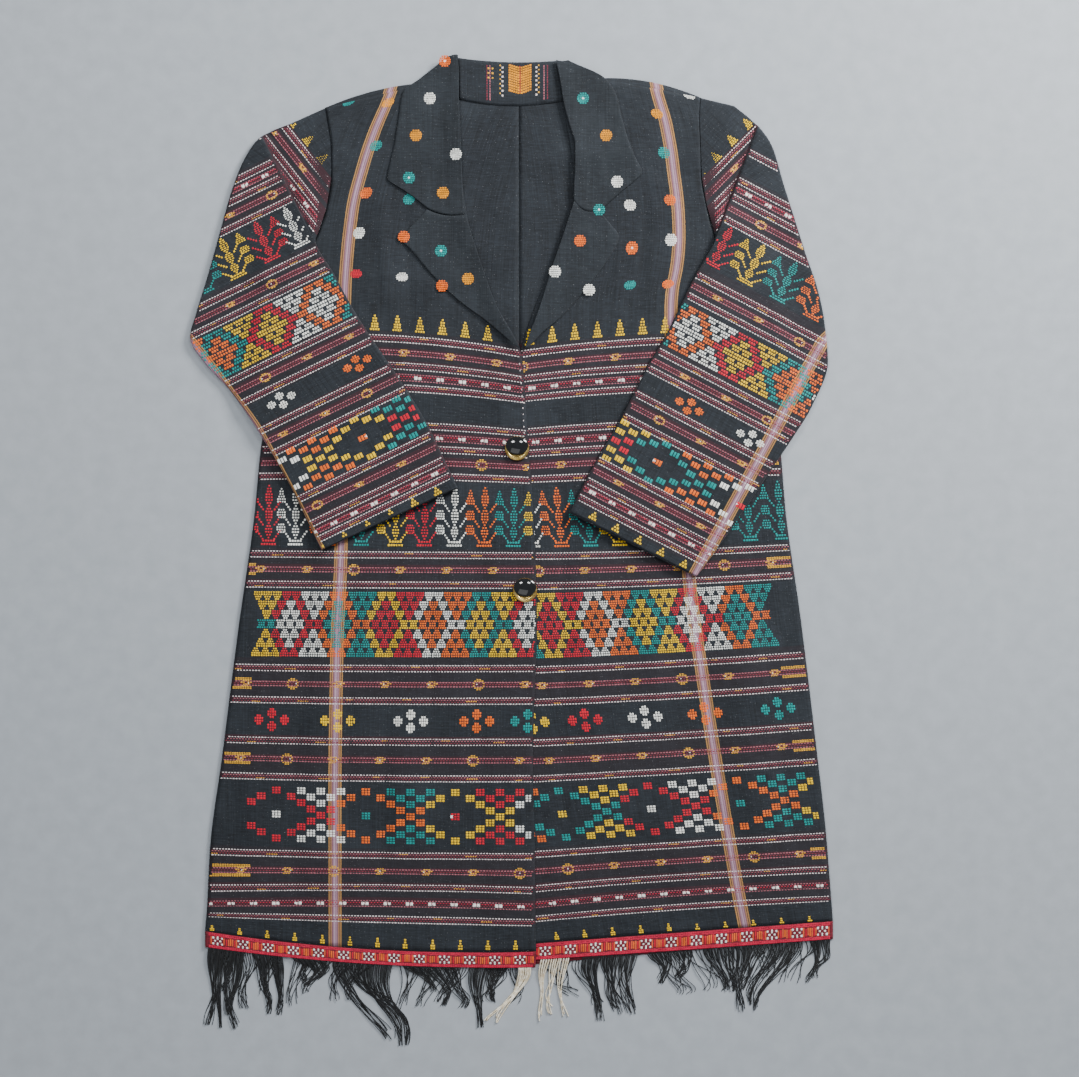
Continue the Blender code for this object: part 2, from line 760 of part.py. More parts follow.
def centre_on_footprint(collection):
    """Moves the whole jacket so that the middle of its footprint is the origin."""
    bpy.context.view_layer.update()
    shapes = bpy.context.evaluated_depsgraph_get()
    corners = []
    for made in collection.objects:
        seen = made.evaluated_get(shapes)
        corners += [seen.matrix_world @ vertex.co for vertex in seen.data.vertices]
    middle_x = (min(c.x for c in corners) + max(c.x for c in corners)) / 2
    middle_y = (min(c.y for c in corners) + max(c.y for c in corners)) / 2
    print("centre front and hem line, from the origin, in mm:", -middle_x / MM, -middle_y / MM)
    for made in collection.objects:
        made.location.x -= middle_x
        made.location.y -= middle_y


def main():
    """Clears the scene and builds the jacket piece by piece."""
    for old in list(bpy.data.objects):
        bpy.data.objects.remove(old, do_unlink=True)
    collection = bpy.data.collections.new("banded_woven_jacket")
    bpy.context.scene.collection.children.link(collection)
    build_body(collection)
    build_collar(collection)
    build_sleeve("sleeve_right", FRONT_RIGHT, SLEEVE_RIGHT, FOLDS_SLEEVE_RIGHT, front_right_under,
                 -1, collection)
    build_sleeve("sleeve_left", FRONT_LEFT, SLEEVE_LEFT, FOLDS_SLEEVE_LEFT, front_left_under,
                 1, collection)
    for name, (x, y) in BUTTON_PLACES.items():
        build_button(name, x, y, collection)
    build_fringes(collection)
    centre_on_footprint(collection)


main()
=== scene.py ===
"""Looks of a long tailored jacket of banded hand-woven cloth, buttoned and laid flat.

The jacket lies front up, its collar toward +Y. Right and left are the wearer's, so the
wearer's right is at -X. The tables are in millimetres: x from the centre front, y from the
lowest point of the hem, as in the construction source, and become metres in one function.
"""
import logging
import math
from dataclasses import dataclass, field, replace
from enum import Enum
from typing import Callable, Iterable, Sequence

import bpy
import numpy as np
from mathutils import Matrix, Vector


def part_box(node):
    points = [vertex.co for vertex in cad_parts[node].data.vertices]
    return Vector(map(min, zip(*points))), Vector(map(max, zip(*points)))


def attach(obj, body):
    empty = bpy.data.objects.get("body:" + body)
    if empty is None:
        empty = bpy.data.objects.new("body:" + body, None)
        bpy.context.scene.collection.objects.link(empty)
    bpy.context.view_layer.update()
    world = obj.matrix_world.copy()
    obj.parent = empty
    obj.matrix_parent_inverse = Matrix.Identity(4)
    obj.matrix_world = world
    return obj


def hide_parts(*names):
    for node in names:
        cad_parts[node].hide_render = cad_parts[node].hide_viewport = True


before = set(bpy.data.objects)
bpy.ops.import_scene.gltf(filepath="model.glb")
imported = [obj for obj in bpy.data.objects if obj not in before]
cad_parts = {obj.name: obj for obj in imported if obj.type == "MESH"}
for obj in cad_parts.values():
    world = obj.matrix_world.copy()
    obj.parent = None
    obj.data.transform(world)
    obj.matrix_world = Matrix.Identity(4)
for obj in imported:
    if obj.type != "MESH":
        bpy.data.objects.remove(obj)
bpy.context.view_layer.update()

LOG = logging.getLogger("jacket")

Array = np.ndarray
Height = Callable[[Array, Array], Array]

MM = 0.001

# Millimetres: the solids' cloth and collar cloth, the air between layers and at seams, the
# visible cloth's thickness, and the x of the centre back seam
WALL = 1.2
COLLAR_WALL = 1.5
LAYER_GAP = 0.4
SEAM_GAP = 0.3
SHELL = 0.8
CENTRE_BACK = -1.0

# From farther across the cloth than any panel reaches, to as far on the other side
ALL_ACROSS = (-400.0, 400.0)

# The stand's lowest x and highest y in the tables, which tie them to the frame
STAND_LEFT = -58.5
STAND_TOP = 909.0


def table_origin() -> tuple[float, float]:
    """Finds where the tables' zero point lies in the frame, from the collar's stand.

    Returns:
        Its x and y in millimetres.
    """
    low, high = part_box("collar_stand")
    return low[0] / MM - STAND_LEFT, high[1] / MM - STAND_TOP


ORIGIN = table_origin()


def to_world(points: Array) -> Array:
    """Turns table points in millimetres into frame points in metres.

    Args:
        points: An array whose last axis is x, y and z.

    Returns:
        An array of the same shape.
    """
    return (points + np.array([ORIGIN[0], ORIGIN[1], 0.0])) * MM


def ease(value: Array) -> Array:
    """Eases from 0 to 1 while value goes from 0 to 1."""
    value = np.clip(value, 0.0, 1.0)
    return value * value * (3 - 2 * value)


def flowing(at: Array, knots: Sequence[float], values: Sequence[float]) -> Array:
    """Reads a smooth curve through knots, which never swings past them.

    Args:
        at: Where to read it.
        knots: Rising places of the known values.
        values: The known values.

    Returns:
        The curve's values.
    """
    at = np.clip(np.asarray(at, float), knots[0], knots[-1])
    knots = np.asarray(knots, float)
    values = np.asarray(values, float)
    secant = np.diff(values) / np.diff(knots)
    slope = np.zeros_like(values)
    first, last = secant[:-1], secant[1:]
    same = first * last > 0
    slope[1:-1][same] = 2 * first[same] * last[same] / (first[same] + last[same])
    slope[0], slope[-1] = secant[0], secant[-1]
    index = np.clip(np.searchsorted(knots, at, side="right") - 1, 0, len(knots) - 2)
    width = knots[index + 1] - knots[index]
    share = (at - knots[index]) / width
    rest = 1 - share
    return (values[index] * (1 + 2 * share) * rest ** 2 + slope[index] * width * share * rest ** 2
            + values[index + 1] * share ** 2 * (3 - 2 * share)
            - slope[index + 1] * width * share ** 2 * rest)


def spaced(count: int, pitch: float) -> Array:
    """Gives evenly spaced offsets whose middle is 0."""
    return (np.arange(count) - (count - 1) / 2) * pitch


def scatter(count: int, seed: float) -> Array:
    """Gives numbers from -1 to 1 that look random and are the same each time."""
    spread = np.sin(np.arange(count) * 12.9898 + seed * 78.233) * 43758.5453
    return 2 * (spread - np.floor(spread)) - 1


def linear(code: str) -> tuple[float, float, float, float]:
    """Turns an sRGB hex colour into linear red, green, blue and alpha."""
    parts = [int(code[i:i + 2], 16) / 255 for i in (1, 3, 5)]
    return (*(c / 12.92 if c <= 0.04045 else ((c + 0.055) / 1.055) ** 2.4 for c in parts), 1.0)


def add(tree: bpy.types.NodeTree, kind: str, inputs: dict | None = None, **settings) -> bpy.types.Node:
    """Adds a shader node.

    Args:
        tree: The material's node tree.
        kind: The node's type after "ShaderNode".
        inputs: A socket to link, or a value to set, for each input's name or number.
        settings: The node's own settings.

    Returns:
        The new node.
    """
    node = tree.nodes.new("ShaderNode" + kind)
    for key, value in settings.items():
        setattr(node, key, value)
    for key, value in (inputs or {}).items():
        if isinstance(value, bpy.types.NodeSocket):
            tree.links.new(value, node.inputs[key])
        else:
            node.inputs[key].default_value = value
    return node


def new_material(name: str, rough: float) -> tuple[bpy.types.Material, bpy.types.NodeTree, bpy.types.Node]:
    """Makes a material with a Principled shader.

    Args:
        name: The material's name.
        rough: Its roughness.

    Returns:
        The material, its node tree and its shader.
    """
    material = bpy.data.materials.new(name)
    material.use_nodes = True
    shader = material.node_tree.nodes["Principled BSDF"]
    shader.inputs["Roughness"].default_value = rough
    return material, material.node_tree, shader


def fill_ramp(ramp: bpy.types.ColorRamp, stops: Iterable[tuple[float, tuple]], stepped: bool) -> None:
    """Sets a colour ramp's stops.

    Args:
        ramp: The ramp.
        stops: Each stop's place and colour, in rising order.
        stepped: Whether each colour holds up to the next stop.
    """
    ramp.interpolation = "CONSTANT" if stepped else "LINEAR"
    stops = list(stops)
    while len(ramp.elements) < len(stops):
        ramp.elements.new(1.0)
    for element, (place, colour) in zip(ramp.elements, stops):
        element.position = place
        element.color = colour


def mottle(tree: bpy.types.NodeTree, shader: bpy.types.Node, scale: float, detail: float,
           stops: Iterable[tuple[float, tuple]], relief_by: tuple[float, float] | None = None) -> None:
    """Colours a surface by noise in space, and bumps it by the same noise.

    Args:
        tree: The material's node tree.
        shader: Its shader.
        scale: The noise's scale.
        detail: The noise's detail.
        stops: Each colour's place in the noise and its linear value.
        relief_by: Strength and depth in metres of the bump, if it has one.
    """
    places = add(tree, "TexCoord")
    noise = add(tree, "TexNoise", {"Vector": places.outputs["Object"], "Scale": scale, "Detail": detail})
    tone = add(tree, "ValToRGB", {"Fac": noise.outputs["Fac"]})
    fill_ramp(tone.color_ramp, stops, False)
    tree.links.new(tone.outputs["Color"], shader.inputs["Base Color"])
    if relief_by:
        bump = add(tree, "Bump", {"Height": noise.outputs["Fac"], "Strength": relief_by[0],
                                  "Distance": relief_by[1]})
        tree.links.new(bump.outputs["Normal"], shader.inputs["Normal"])


class Yarn(Enum):
    """Weft yarns of the pattern: an sRGB colour and a roughness."""

    WHITE = ("#f2f3ec", 0.62)
    ASH = ("#e2d7d6", 0.7)
    YELLOW = ("#f7c600", 0.75)
    AMBER = ("#e69400", 0.75)
    ORANGE = ("#f26c18", 0.7)
    RED = ("#d0142e", 0.6)
    TEAL = ("#008c88", 0.6)
    ROSE = ("#a4606a", 0.75)
    MAROON = ("#7a2c3a", 0.75)
    GOLD = ("#e2a830", 0.5)
    BEAD = ("#ffffff", 0.12)
    CARMINE = ("#c21f40", 0.6)
    RUST = ("#dd5f36", 0.65)

    @property
    def code(self) -> str:
        """The yarn's colour."""
        return self.value[0]


# The order of colours that the weaver repeats through each pattern band
CYCLE = (Yarn.YELLOW, Yarn.WHITE, Yarn.TEAL, Yarn.RED, Yarn.ORANGE)


@dataclass(frozen=True)
class FloatThread:
    """Soft cotton weft float, spun and dyed: a matt fibre with a faint sheen.

    Attributes:
        yarn: Its yarn.
    """

    yarn: Yarn

    def material(self) -> bpy.types.Material:
        """Makes or finds the thread's material.

        Returns:
            The material.
        """
        name = "dyed_cotton_float_" + self.yarn.name.lower()
        if name in bpy.data.materials:
            return bpy.data.materials[name]
        material, tree, shader = new_material(name, self.yarn.value[1])
        base = linear(self.yarn.code)[:3]
        # Uneven dye in the spun yarn, in patches of about 6 mm
        mottle(tree, shader, 160.0, 3.0, [(at, (*(min(1.0, c * tone) for c in base), 1.0))
                                          for at, tone in ((0.3, 0.72), (0.7, 1.12))])
        # Twist of the yarn, drawn at 0.7 mm
        places = add(tree, "TexCoord")
        twist = add(tree, "TexNoise", {"Vector": places.outputs["Object"], "Scale": 1400.0})
        bump = add(tree, "Bump", {"Height": twist.outputs["Fac"], "Strength": 0.35, "Distance": 0.0003})
        tree.links.new(bump.outputs["Normal"], shader.inputs["Normal"])
        shader.inputs["Sheen Weight"].default_value = 0.03
        shader.inputs["Specular IOR Level"].default_value = 0.25
        return material


@dataclass(frozen=True)
class WovenCloth:
    """Plain-woven black cotton, warp-faced: dark indigo black with paler slubs along the warp,
    a fine ribbed grain, a little lint, and maroon weft grounds under the narrow pattern lines.

    Attributes:
        name: The material's name.
        lines: Lowest and highest cloth height of each maroon ground, in millimetres.
        groups: The same of each group of lines, whose ground is a little redder.
        stripe: Place of the lilac warp stripe across the cloth, if it has one.
        dark: Colour of the cloth's hollows.
        light: Colour of its slubs.
    """

    name: str
    lines: tuple[tuple[float, float], ...] = ()
    groups: tuple[tuple[float, float], ...] = ()
    stripe: float | None = None
    dark: str = "#0d1014"
    light: str = "#242a31"

    def band_mask(self, tree: bpy.types.NodeTree, height: bpy.types.NodeSocket,
                  spans: Sequence[tuple[float, float]]) -> bpy.types.NodeSocket:
        """Marks where a cloth height lies in one of the spans.

        Args:
            tree: The material's node tree.
            height: The cloth height, as a share of a metre.
            spans: Lowest and highest height of each span, in millimetres.

        Returns:
            A socket that is 1 inside the spans.
        """
        whole = None
        # A colour ramp holds 32 stops, and each span takes two
        most = 14
        for start in range(0, len(spans), most):
            stops = [(0.0, (0, 0, 0, 1))]
            for low, high in sorted(spans)[start:start + most]:
                stops += [(max(0.0, low * MM), (1, 1, 1, 1)), (high * MM, (0, 0, 0, 1))]
            ramp = add(tree, "ValToRGB", {"Fac": height})
            fill_ramp(ramp.color_ramp, stops, True)
            part = ramp.outputs["Color"]
            if whole is not None:
                part = add(tree, "Math", {0: whole, 1: part}, operation="MAXIMUM").outputs[0]
            whole = part
        return whole

    def blend(self, tree: bpy.types.NodeTree, share: bpy.types.NodeSocket | float,
              below: bpy.types.NodeSocket, colour: bpy.types.NodeSocket | tuple) -> bpy.types.NodeSocket:
        """Lays a colour over another by a share.

        Args:
            tree: The material's node tree.
            share: How much of the upper colour shows.
            below: The lower colour.
            colour: The upper colour.

        Returns:
            The blended colour.
        """
        mix = add(tree, "Mix", data_type="RGBA")
        for index, value in ((0, share), (6, below), (7, colour)):
            if isinstance(value, bpy.types.NodeSocket):
                tree.links.new(value, mix.inputs[index])
            else:
                mix.inputs[index].default_value = value
        return mix.outputs[2]

    def material(self) -> bpy.types.Material:
        """Makes the cloth's material, which reads cloth metres from its UV map.

        Returns:
            The material.
        """
        material, tree, shader = new_material(self.name, 0.86)
        uv = add(tree, "UVMap", uv_map="cloth")
        split = add(tree, "SeparateXYZ", {"Vector": uv.outputs["UV"]})
        across_cloth, up_cloth = split.outputs["X"], split.outputs["Y"]

        # Slubs run along the warp: streaks about 1.5 mm wide and 60 mm long
        streak_place = add(tree, "Mapping", {"Vector": uv.outputs["UV"], "Scale": (640.0, 16.0, 1.0)})
        streak = add(tree, "TexNoise", {"Vector": streak_place.outputs["Vector"], "Scale": 1.0,
                                        "Detail": 4.0, "Roughness": 0.6})
        # Cross threads, drawn at 1.6 mm because the true 0.5 mm would not show
        weft_place = add(tree, "Mapping", {"Vector": uv.outputs["UV"], "Scale": (90.0, 620.0, 1.0)})
        weft = add(tree, "TexNoise", {"Vector": weft_place.outputs["Vector"], "Scale": 1.0, "Detail": 3.0})
        both = add(tree, "Math", {0: streak.outputs["Fac"], 1: weft.outputs["Fac"]}, operation="ADD")
        tone = add(tree, "ValToRGB", {"Fac": add(tree, "Math", {0: both.outputs[0], 1: 0.5},
                                                 operation="MULTIPLY").outputs[0]})
        fill_ramp(tone.color_ramp, [(0.34, linear(self.dark)), (0.68, linear(self.light))], False)
        colour = tone.outputs["Color"]

        # Wear and dust lie in soft patches of about 70 mm
        patch = add(tree, "TexNoise", {"Vector": uv.outputs["UV"], "Scale": 14.0, "Detail": 2.0})
        patch_share = add(tree, "MapRange", {"Value": patch.outputs["Fac"], "From Min": 0.42,
                                             "From Max": 0.75, "To Max": 0.12})
        colour = self.blend(tree, patch_share.outputs[0], colour, linear("#4a525a"))

        for spans, share, code in ((self.groups, 0.45, "#261c21"), (self.lines, 0.7, "#381a22")):
            if spans:
                ground = add(tree, "Math", {0: self.band_mask(tree, up_cloth, spans), 1: share},
                             operation="MULTIPLY")
                colour = self.blend(tree, ground.outputs[0], colour, linear(code))
        if self.stripe is not None:
            colour = self.warp_stripe(tree, across_cloth, colour, streak.outputs["Fac"])

        # Lint: pale specks of about 1 mm
        lint = add(tree, "TexNoise", {"Vector": uv.outputs["UV"], "Scale": 700.0, "Detail": 1.0})
        speck = add(tree, "MapRange", {"Value": lint.outputs["Fac"], "From Min": 0.68, "From Max": 0.78,
                                       "To Max": 0.35})
        colour = self.blend(tree, speck.outputs[0], colour, linear("#8b8d8f"))
        tree.links.new(colour, shader.inputs["Base Color"])

        bump = add(tree, "Bump", {"Height": both.outputs[0], "Strength": 0.5, "Distance": 0.0004})
        soft = add(tree, "TexNoise", {"Vector": uv.outputs["UV"], "Scale": 42.0, "Detail": 2.0})
        crumple = add(tree, "Bump", {"Height": soft.outputs["Fac"], "Strength": 0.5, "Distance": 0.0032,
                                     "Normal": bump.outputs["Normal"]})
        tree.links.new(crumple.outputs["Normal"], shader.inputs["Normal"])
        shader.inputs["Sheen Weight"].default_value = 0.07
        shader.inputs["Sheen Roughness"].default_value = 0.5
        shader.inputs["Specular IOR Level"].default_value = 0.35
        return material

    def warp_stripe(self, tree: bpy.types.NodeTree, across_cloth: bpy.types.NodeSocket,
                    below: bpy.types.NodeSocket, streak: bpy.types.NodeSocket) -> bpy.types.NodeSocket:
        """Lays the lilac stripe in the warp, 13 mm wide, with its orange edges.

        Args:
            tree: The material's node tree.
            across_cloth: The place across the cloth, in metres.
            below: The colour that it covers.
            streak: Slubs that break it up.

        Returns:
            The colour with the stripe on it.
        """
        width = 0.0132
        place = add(tree, "MapRange", {"Value": across_cloth, "From Min": self.stripe * MM - width / 2,
                                       "From Max": self.stripe * MM + width / 2, "To Min": 0.01,
                                       "To Max": 0.99})
        bands = ((0.0, None), (0.02, "#ab7f48"), (0.11, "#4c302e"), (0.17, "#a87c50"), (0.25, "#7c525c"),
                 (0.34, "#9a7888"), (0.44, "#b696a6"), (0.52, "#8c6678"), (0.60, "#a4828f"),
                 (0.67, "#7c525c"), (0.75, "#a87c50"), (0.83, "#4c302e"), (0.89, "#ab7f48"), (0.98, None))
        ramp = add(tree, "ValToRGB", {"Fac": place.outputs[0]})
        fill_ramp(ramp.color_ramp, [(at, linear(code or "#000000")[:3] + (1.0 if code else 0.0,))
                                    for at, code in bands], True)
        worn = add(tree, "MapRange", {"Value": streak, "From Min": 0.25, "From Max": 0.6, "To Min": 0.6,
                                      "To Max": 1.0})
        share = add(tree, "Math", {0: ramp.outputs["Alpha"], 1: worn.outputs[0]}, operation="MULTIPLY")
        return self.blend(tree, share.outputs[0], below, ramp.outputs["Color"])


@dataclass(frozen=True)
class SpunFringe:
    """Loose twisted cotton ends: matt thread of uneven dye, in patches of about 4 mm.

    Attributes:
        name: The material's name.
        dark: Its darker colour.
        light: Its lighter colour.
    """

    name: str
    dark: str
    light: str

    def material(self) -> bpy.types.Material:
        """Makes the thread's material.

        Returns:
            The material.
        """
        material, tree, shader = new_material(self.name, 0.72)
        mottle(tree, shader, 260.0, 2.0, [(0.35, linear(self.dark)), (0.7, linear(self.light))],
               (0.4, 0.0003))
        shader.inputs["Sheen Weight"].default_value = 0.05
        return material


@dataclass(frozen=True)
class PolishedResin:
    """Cast black resin, tumbled to a gloss: deep black with sharp highlights."""

    def material(self) -> bpy.types.Material:
        """Makes the dome's material.

        Returns:
            The material.
        """
        material, tree, shader = new_material("cast_black_resin_polished", 0.09)
        # Fine handling marks, about 3 mm apart
        mottle(tree, shader, 300.0, 4.0, [(0.3, linear("#050505")), (0.8, linear("#111113"))],
               (0.05, 0.0001))
        shader.inputs["IOR"].default_value = 1.52
        shader.inputs["Coat Weight"].default_value = 0.6
        return material


@dataclass(frozen=True)
class GiltBrass:
    """Stamped brass with a worn gilt wash: pale gold, unevenly rubbed."""

    def material(self) -> bpy.types.Material:
        """Makes the rim's material.

        Returns:
            The material.
        """
        material, tree, shader = new_material("stamped_brass_gilt", 0.24)
        mottle(tree, shader, 420.0, 5.0, [(0.3, linear("#a9812e")), (0.7, linear("#f0d68a"))],
               (0.12, 0.0002))
        shader.inputs["Metallic"].default_value = 0.9
        return material


@dataclass(frozen=True)
class Row:
    """A row of the weave in plan, from a panel's inner edge through its middle to its outer edge.

    Attributes:
        inner_x: The inner end's x.
        inner_y: The inner end's y.
        mid_x: The middle's x.
        mid_y: The middle's y.
        outer_x: The outer end's x.
        outer_y: The outer end's y.
    """

    inner_x: float
    inner_y: float
    mid_x: float
    mid_y: float
    outer_x: float
    outer_y: float

    def values(self) -> list[float]:
        """The row's six numbers."""
        return [self.inner_x, self.inner_y, self.mid_x, self.mid_y, self.outer_x, self.outer_y]

    def lowered(self, drop: float) -> "Row":
        """The row moved toward the hem."""
        return replace(self, inner_y=self.inner_y - drop, mid_y=self.mid_y - drop,
                       outer_y=self.outer_y - drop)


@dataclass(frozen=True)
class Fold:
    """A soft ridge or, with a negative height, a soft trough.

    Attributes:
        top_x: The upper end's x.
        top_y: The upper end's y.
        bottom_x: The lower end's x.
        bottom_y: The lower end's y.
        half_width: How far from its line it has fallen to about a third.
        height: Its height along its line.
    """

    top_x: float
    top_y: float
    bottom_x: float
    bottom_y: float
    half_width: float
    height: float

    def at(self, x: Array, y: Array) -> Array:
        """Height of the fold at points.

        Args:
            x: The points' x.
            y: The points' y.

        Returns:
            The height.
        """
        along_x, along_y = self.bottom_x - self.top_x, self.bottom_y - self.top_y
        length = math.hypot(along_x, along_y)
        share = ((x - self.top_x) * along_x + (y - self.top_y) * along_y) / length ** 2
        aside = ((x - self.top_x) * along_y - (y - self.top_y) * along_x) / length
        fade = ease(share * 4) * ease((1 - share) * 4)
        return self.height * fade * np.exp(-(aside / self.half_width) ** 2)


def relief(folds: Iterable[Fold], x: Array, y: Array) -> Array:
    """Height of all the folds at points.

    Args:
        folds: The folds.
        x: The points' x.
        y: The points' y.

    Returns:
        The height.
    """
    total = np.zeros(np.broadcast(x, y).shape)
    for fold in folds:
        total = total + fold.at(x, y)
    return total


FRONT_RIGHT = [
    Row(16, 16, -150, 18, -315, 36), Row(15.6, 56, -148, 59.5, -313, 60), Row(15, 114, -145, 115, -310, 119),
    Row(13, 207, -140, 207, -298, 210), Row(17, 342, -135, 342, -281, 343),
    Row(14, 445.5, -130, 447.5, -266, 448.5), Row(8.5, 521.5, -125, 529, -258, 527.5),
    Row(2, 609.5, -110, 624, -235, 626), Row(-26, 667, -120, 677, -232, 676),
    Row(-36, 695, -125, 699, -230, 697), Row(-46, 725, -124, 730, -204, 727),
    Row(-54, 757, -122, 761, -193, 758), Row(-58, 789, -124, 791, -188, 789),
    Row(-60, 822, -125, 821, -188, 820), Row(-61, 849, -126, 845, -191, 842),
    Row(-74, 887, -132, 874, -194, 859),
]
FRONT_LEFT = [
    Row(-6, 22, 150, 34, 313, 46), Row(-6, 56, 148, 69.5, 310.5, 78), Row(-6, 114.5, 145, 124.5, 306, 134.5),
    Row(-7, 205, 145, 213, 296, 223), Row(-9, 340, 130, 345, 280, 354),
    Row(-12, 445.5, 125, 448, 266, 453), Row(-14, 521.5, 120, 530, 259, 532),
    Row(-1, 609.5, 110, 621, 237, 625), Row(18, 667, 120, 675, 228, 680),
    Row(29, 692, 125, 697, 225, 697), Row(41, 727, 120, 729, 196, 727),
    Row(52, 762, 120, 762, 186, 762), Row(54, 789, 118, 790, 181, 791),
    Row(50, 822, 116, 822, 180, 822), Row(46, 849, 114, 849, 179, 849),
    Row(52, 893, 120, 881, 180, 869),
]

# One cloth height for each row, the same on both fronts and on the back, and the y of each
# back row at the centre seam
ROW_MARKS = [16, 56, 114, 207, 342, 447, 525, 615, 667, 695, 725, 757, 789, 822, 849, 887]
SEAM_HEIGHTS = [18, 60, 115, 206, 342, 448, 527, 617, 668, 694, 727, 759, 789, 822, 848]

HEM_RIGHT = Row(15.5, 0, -150, 3, -315, 20)
HEM_LEFT = Row(-6, 6, 150, 16, 313, 28)
BACK_TOP_RIGHT = Row(CENTRE_BACK, 869, -95, 884, -194, 859)
BACK_TOP_LEFT = Row(CENTRE_BACK, 869, 90, 889, 180, 869)
TAPE_HEIGHT = 16.5

# A panel's usual width, and half the height of its tallest lines and of a sleeve's
PANEL_WIDTH = 320
BODY_LINE_HALF = 3.6
SLEEVE_LINE_HALF = 3.4

# The y of the armholes' lower ends
ARMHOLE_LOW = 727.0

# Where a sleeve's lower part and its cap lie in the sleeve's own cloth
SLEEVE_START = 200.0
CAP_START = (-400.0, 100.0)

# Spans of a sleeve's cloth in which the ground between the lines is a little redder
SLEEVE_GROUPS = ((208, 261), (305, 339), (362, 397), (446, 477), (526, 576), (97, 143))

# Places of the lilac warp stripes across the fronts, which the back halves carry on
STRIPE_RIGHT = -179.0
STRIPE_LEFT = 170.0

# Height of the sleeves' motifs as a share of the body's
SLEEVE_RISE = 0.72

# Distance from one motif of the tape to the next
TAPE_REPEAT = 25.2

COLLAR_RIGHT = [
    Row(-62, 911, -67, 911, -73, 909), Row(-61, 890, -80, 890, -100, 888),
    Row(-61, 868, -89, 868, -117, 874), Row(-60, 845, -90, 846, -121, 850),
    Row(-59, 820, -92, 821, -125, 825), Row(-58, 795, -93, 796, -130, 803),
    Row(-57, 770, -92, 770, -133, 789), Row(-55, 752.5, -91, 757.5, -131.5, 786),
]
COLLAR_LEFT = [
    Row(36, 906, 42, 905, 48, 906), Row(40, 886, 62, 886, 84, 889),
    Row(44, 862, 70, 862, 96, 872), Row(50, 840, 78, 840, 102, 848),
    Row(55, 822, 82, 820, 108, 828), Row(55, 800, 86, 797, 115, 810),
    Row(54, 781, 86, 776, 122, 796), Row(54, 766, 80, 757, 121, 792),
]
LAPEL_RIGHT = [
    Row(1, 618, -0.5, 618.5, -2, 619), Row(-8, 631, -13, 632, -18, 633),
    Row(-17, 648, -26, 647, -35, 647), Row(-26, 667, -45, 665, -62, 667),
    Row(-36, 695, -62, 692, -88, 692), Row(-45, 722, -77, 718, -108, 716),
    Row(-50, 738, -83, 732, -117.5, 728), Row(-55, 751.9, -75, 751.6, -93, 757.5),
]
LAPEL_LEFT = [
    Row(5, 618, 6.5, 618.5, 8, 619), Row(10, 634, 16, 634, 22, 634),
    Row(18, 655, 30, 653, 41, 650), Row(26, 680, 46, 675, 64, 676),
    Row(33, 703, 60, 697, 84, 702), Row(41, 726, 70, 717, 99, 729),
    Row(48, 747, 70, 740, 91, 742), Row(54, 765.3, 68, 757.8, 80, 755.5),
]
STAND = [
    Row(-61, 868, -12, 861, 45, 866), Row(-61.8, 888, -12, 883, 41.6, 887),
    Row(-63, 909, -12, 904.5, 37.8, 906),
]
FALL = [
    Row(-122, 845, -10, 825, 96, 851), Row(-119, 860, -11, 865, 94, 867),
    Row(-116, 875, -13, 904.5, 92, 883),
]

# Rings of the flattened sleeves: inner x and y, outer x and y
SLEEVE_RIGHT = [
    (-204.3, 724.5, -230, 843), (-203.4, 722, -258, 831), (-202, 719, -275, 809),
    (-200, 715, -288, 777), (-197, 710, -300, 735), (-193, 704, -312, 692),
    (-187, 695, -323, 656), (-181, 684, -330, 629), (-173, 669, -316, 605),
    (-160, 647, -292, 579), (-143, 621, -274, 555), (-125, 595, -256, 527),
    (-110, 572, -239, 499), (-95, 547, -226, 475), (-80, 517, -213, 448), (-62, 479, -198, 417),
]
SLEEVE_LEFT = [
    (194.2, 724.5, 214, 861), (193.2, 722, 238, 841), (191.5, 719, 252, 821),
    (189, 715, 263, 785), (186, 710, 275, 747), (182, 703, 286, 712),
    (176, 693, 297, 680), (169, 679, 304, 648), (157, 654, 308, 605),
    (144, 628, 293, 563), (130, 605, 273, 530), (115, 576, 252, 499),
    (100, 547, 232, 469), (85, 521, 214, 443), (70, 495, 196, 417), (49, 454, 176, 390),
]

FOLDS_RIGHT = [
    Fold(-182, 520, -212, 50, 24, 2.0), Fold(-104, 440, -112, 40, 22, 1.5),
    Fold(-64, 610, -66, 130, 20, 1.1), Fold(-246, 400, -276, 70, 20, 1.2),
    Fold(-150, 800, -128, 590, 24, 1.2),
]
FOLDS_LEFT = [
    Fold(208, 430, 250, 70, 24, 2.0), Fold(132, 400, 160, 50, 22, 1.6),
    Fold(64, 560, 74, 90, 20, 1.2), Fold(146, 800, 108, 600, 22, 1.2),
]
FOLDS_SLEEVE_RIGHT = [
    Fold(-270, 700, -215, 690, 16, 0.9), Fold(-285, 640, -190, 655, 15, 0.9),
    Fold(-262, 560, -180, 610, 14, 0.7),
]
FOLDS_SLEEVE_LEFT = [
    Fold(262, 700, 205, 690, 16, 0.9), Fold(275, 640, 175, 650, 15, 0.9),
    Fold(245, 560, 160, 600, 14, 0.7),
]


def climb(y: Array) -> Array:
    """How far the collar's fall lifts the back at this height on the jacket."""
    return (WALL + LAYER_GAP) * ease((y - 785.0) / 30.0)


def back_under(x: Array, y: Array) -> Array:
    """Height of the underside of the back."""
    return climb(y) + 0.0 * x


def front_left_under(x: Array, y: Array) -> Array:
    """Height of the underside of the wearer's left front."""
    return climb(y) + WALL + LAYER_GAP + relief(FOLDS_LEFT, x, y) * ease((x - 20.0) / 30.0)


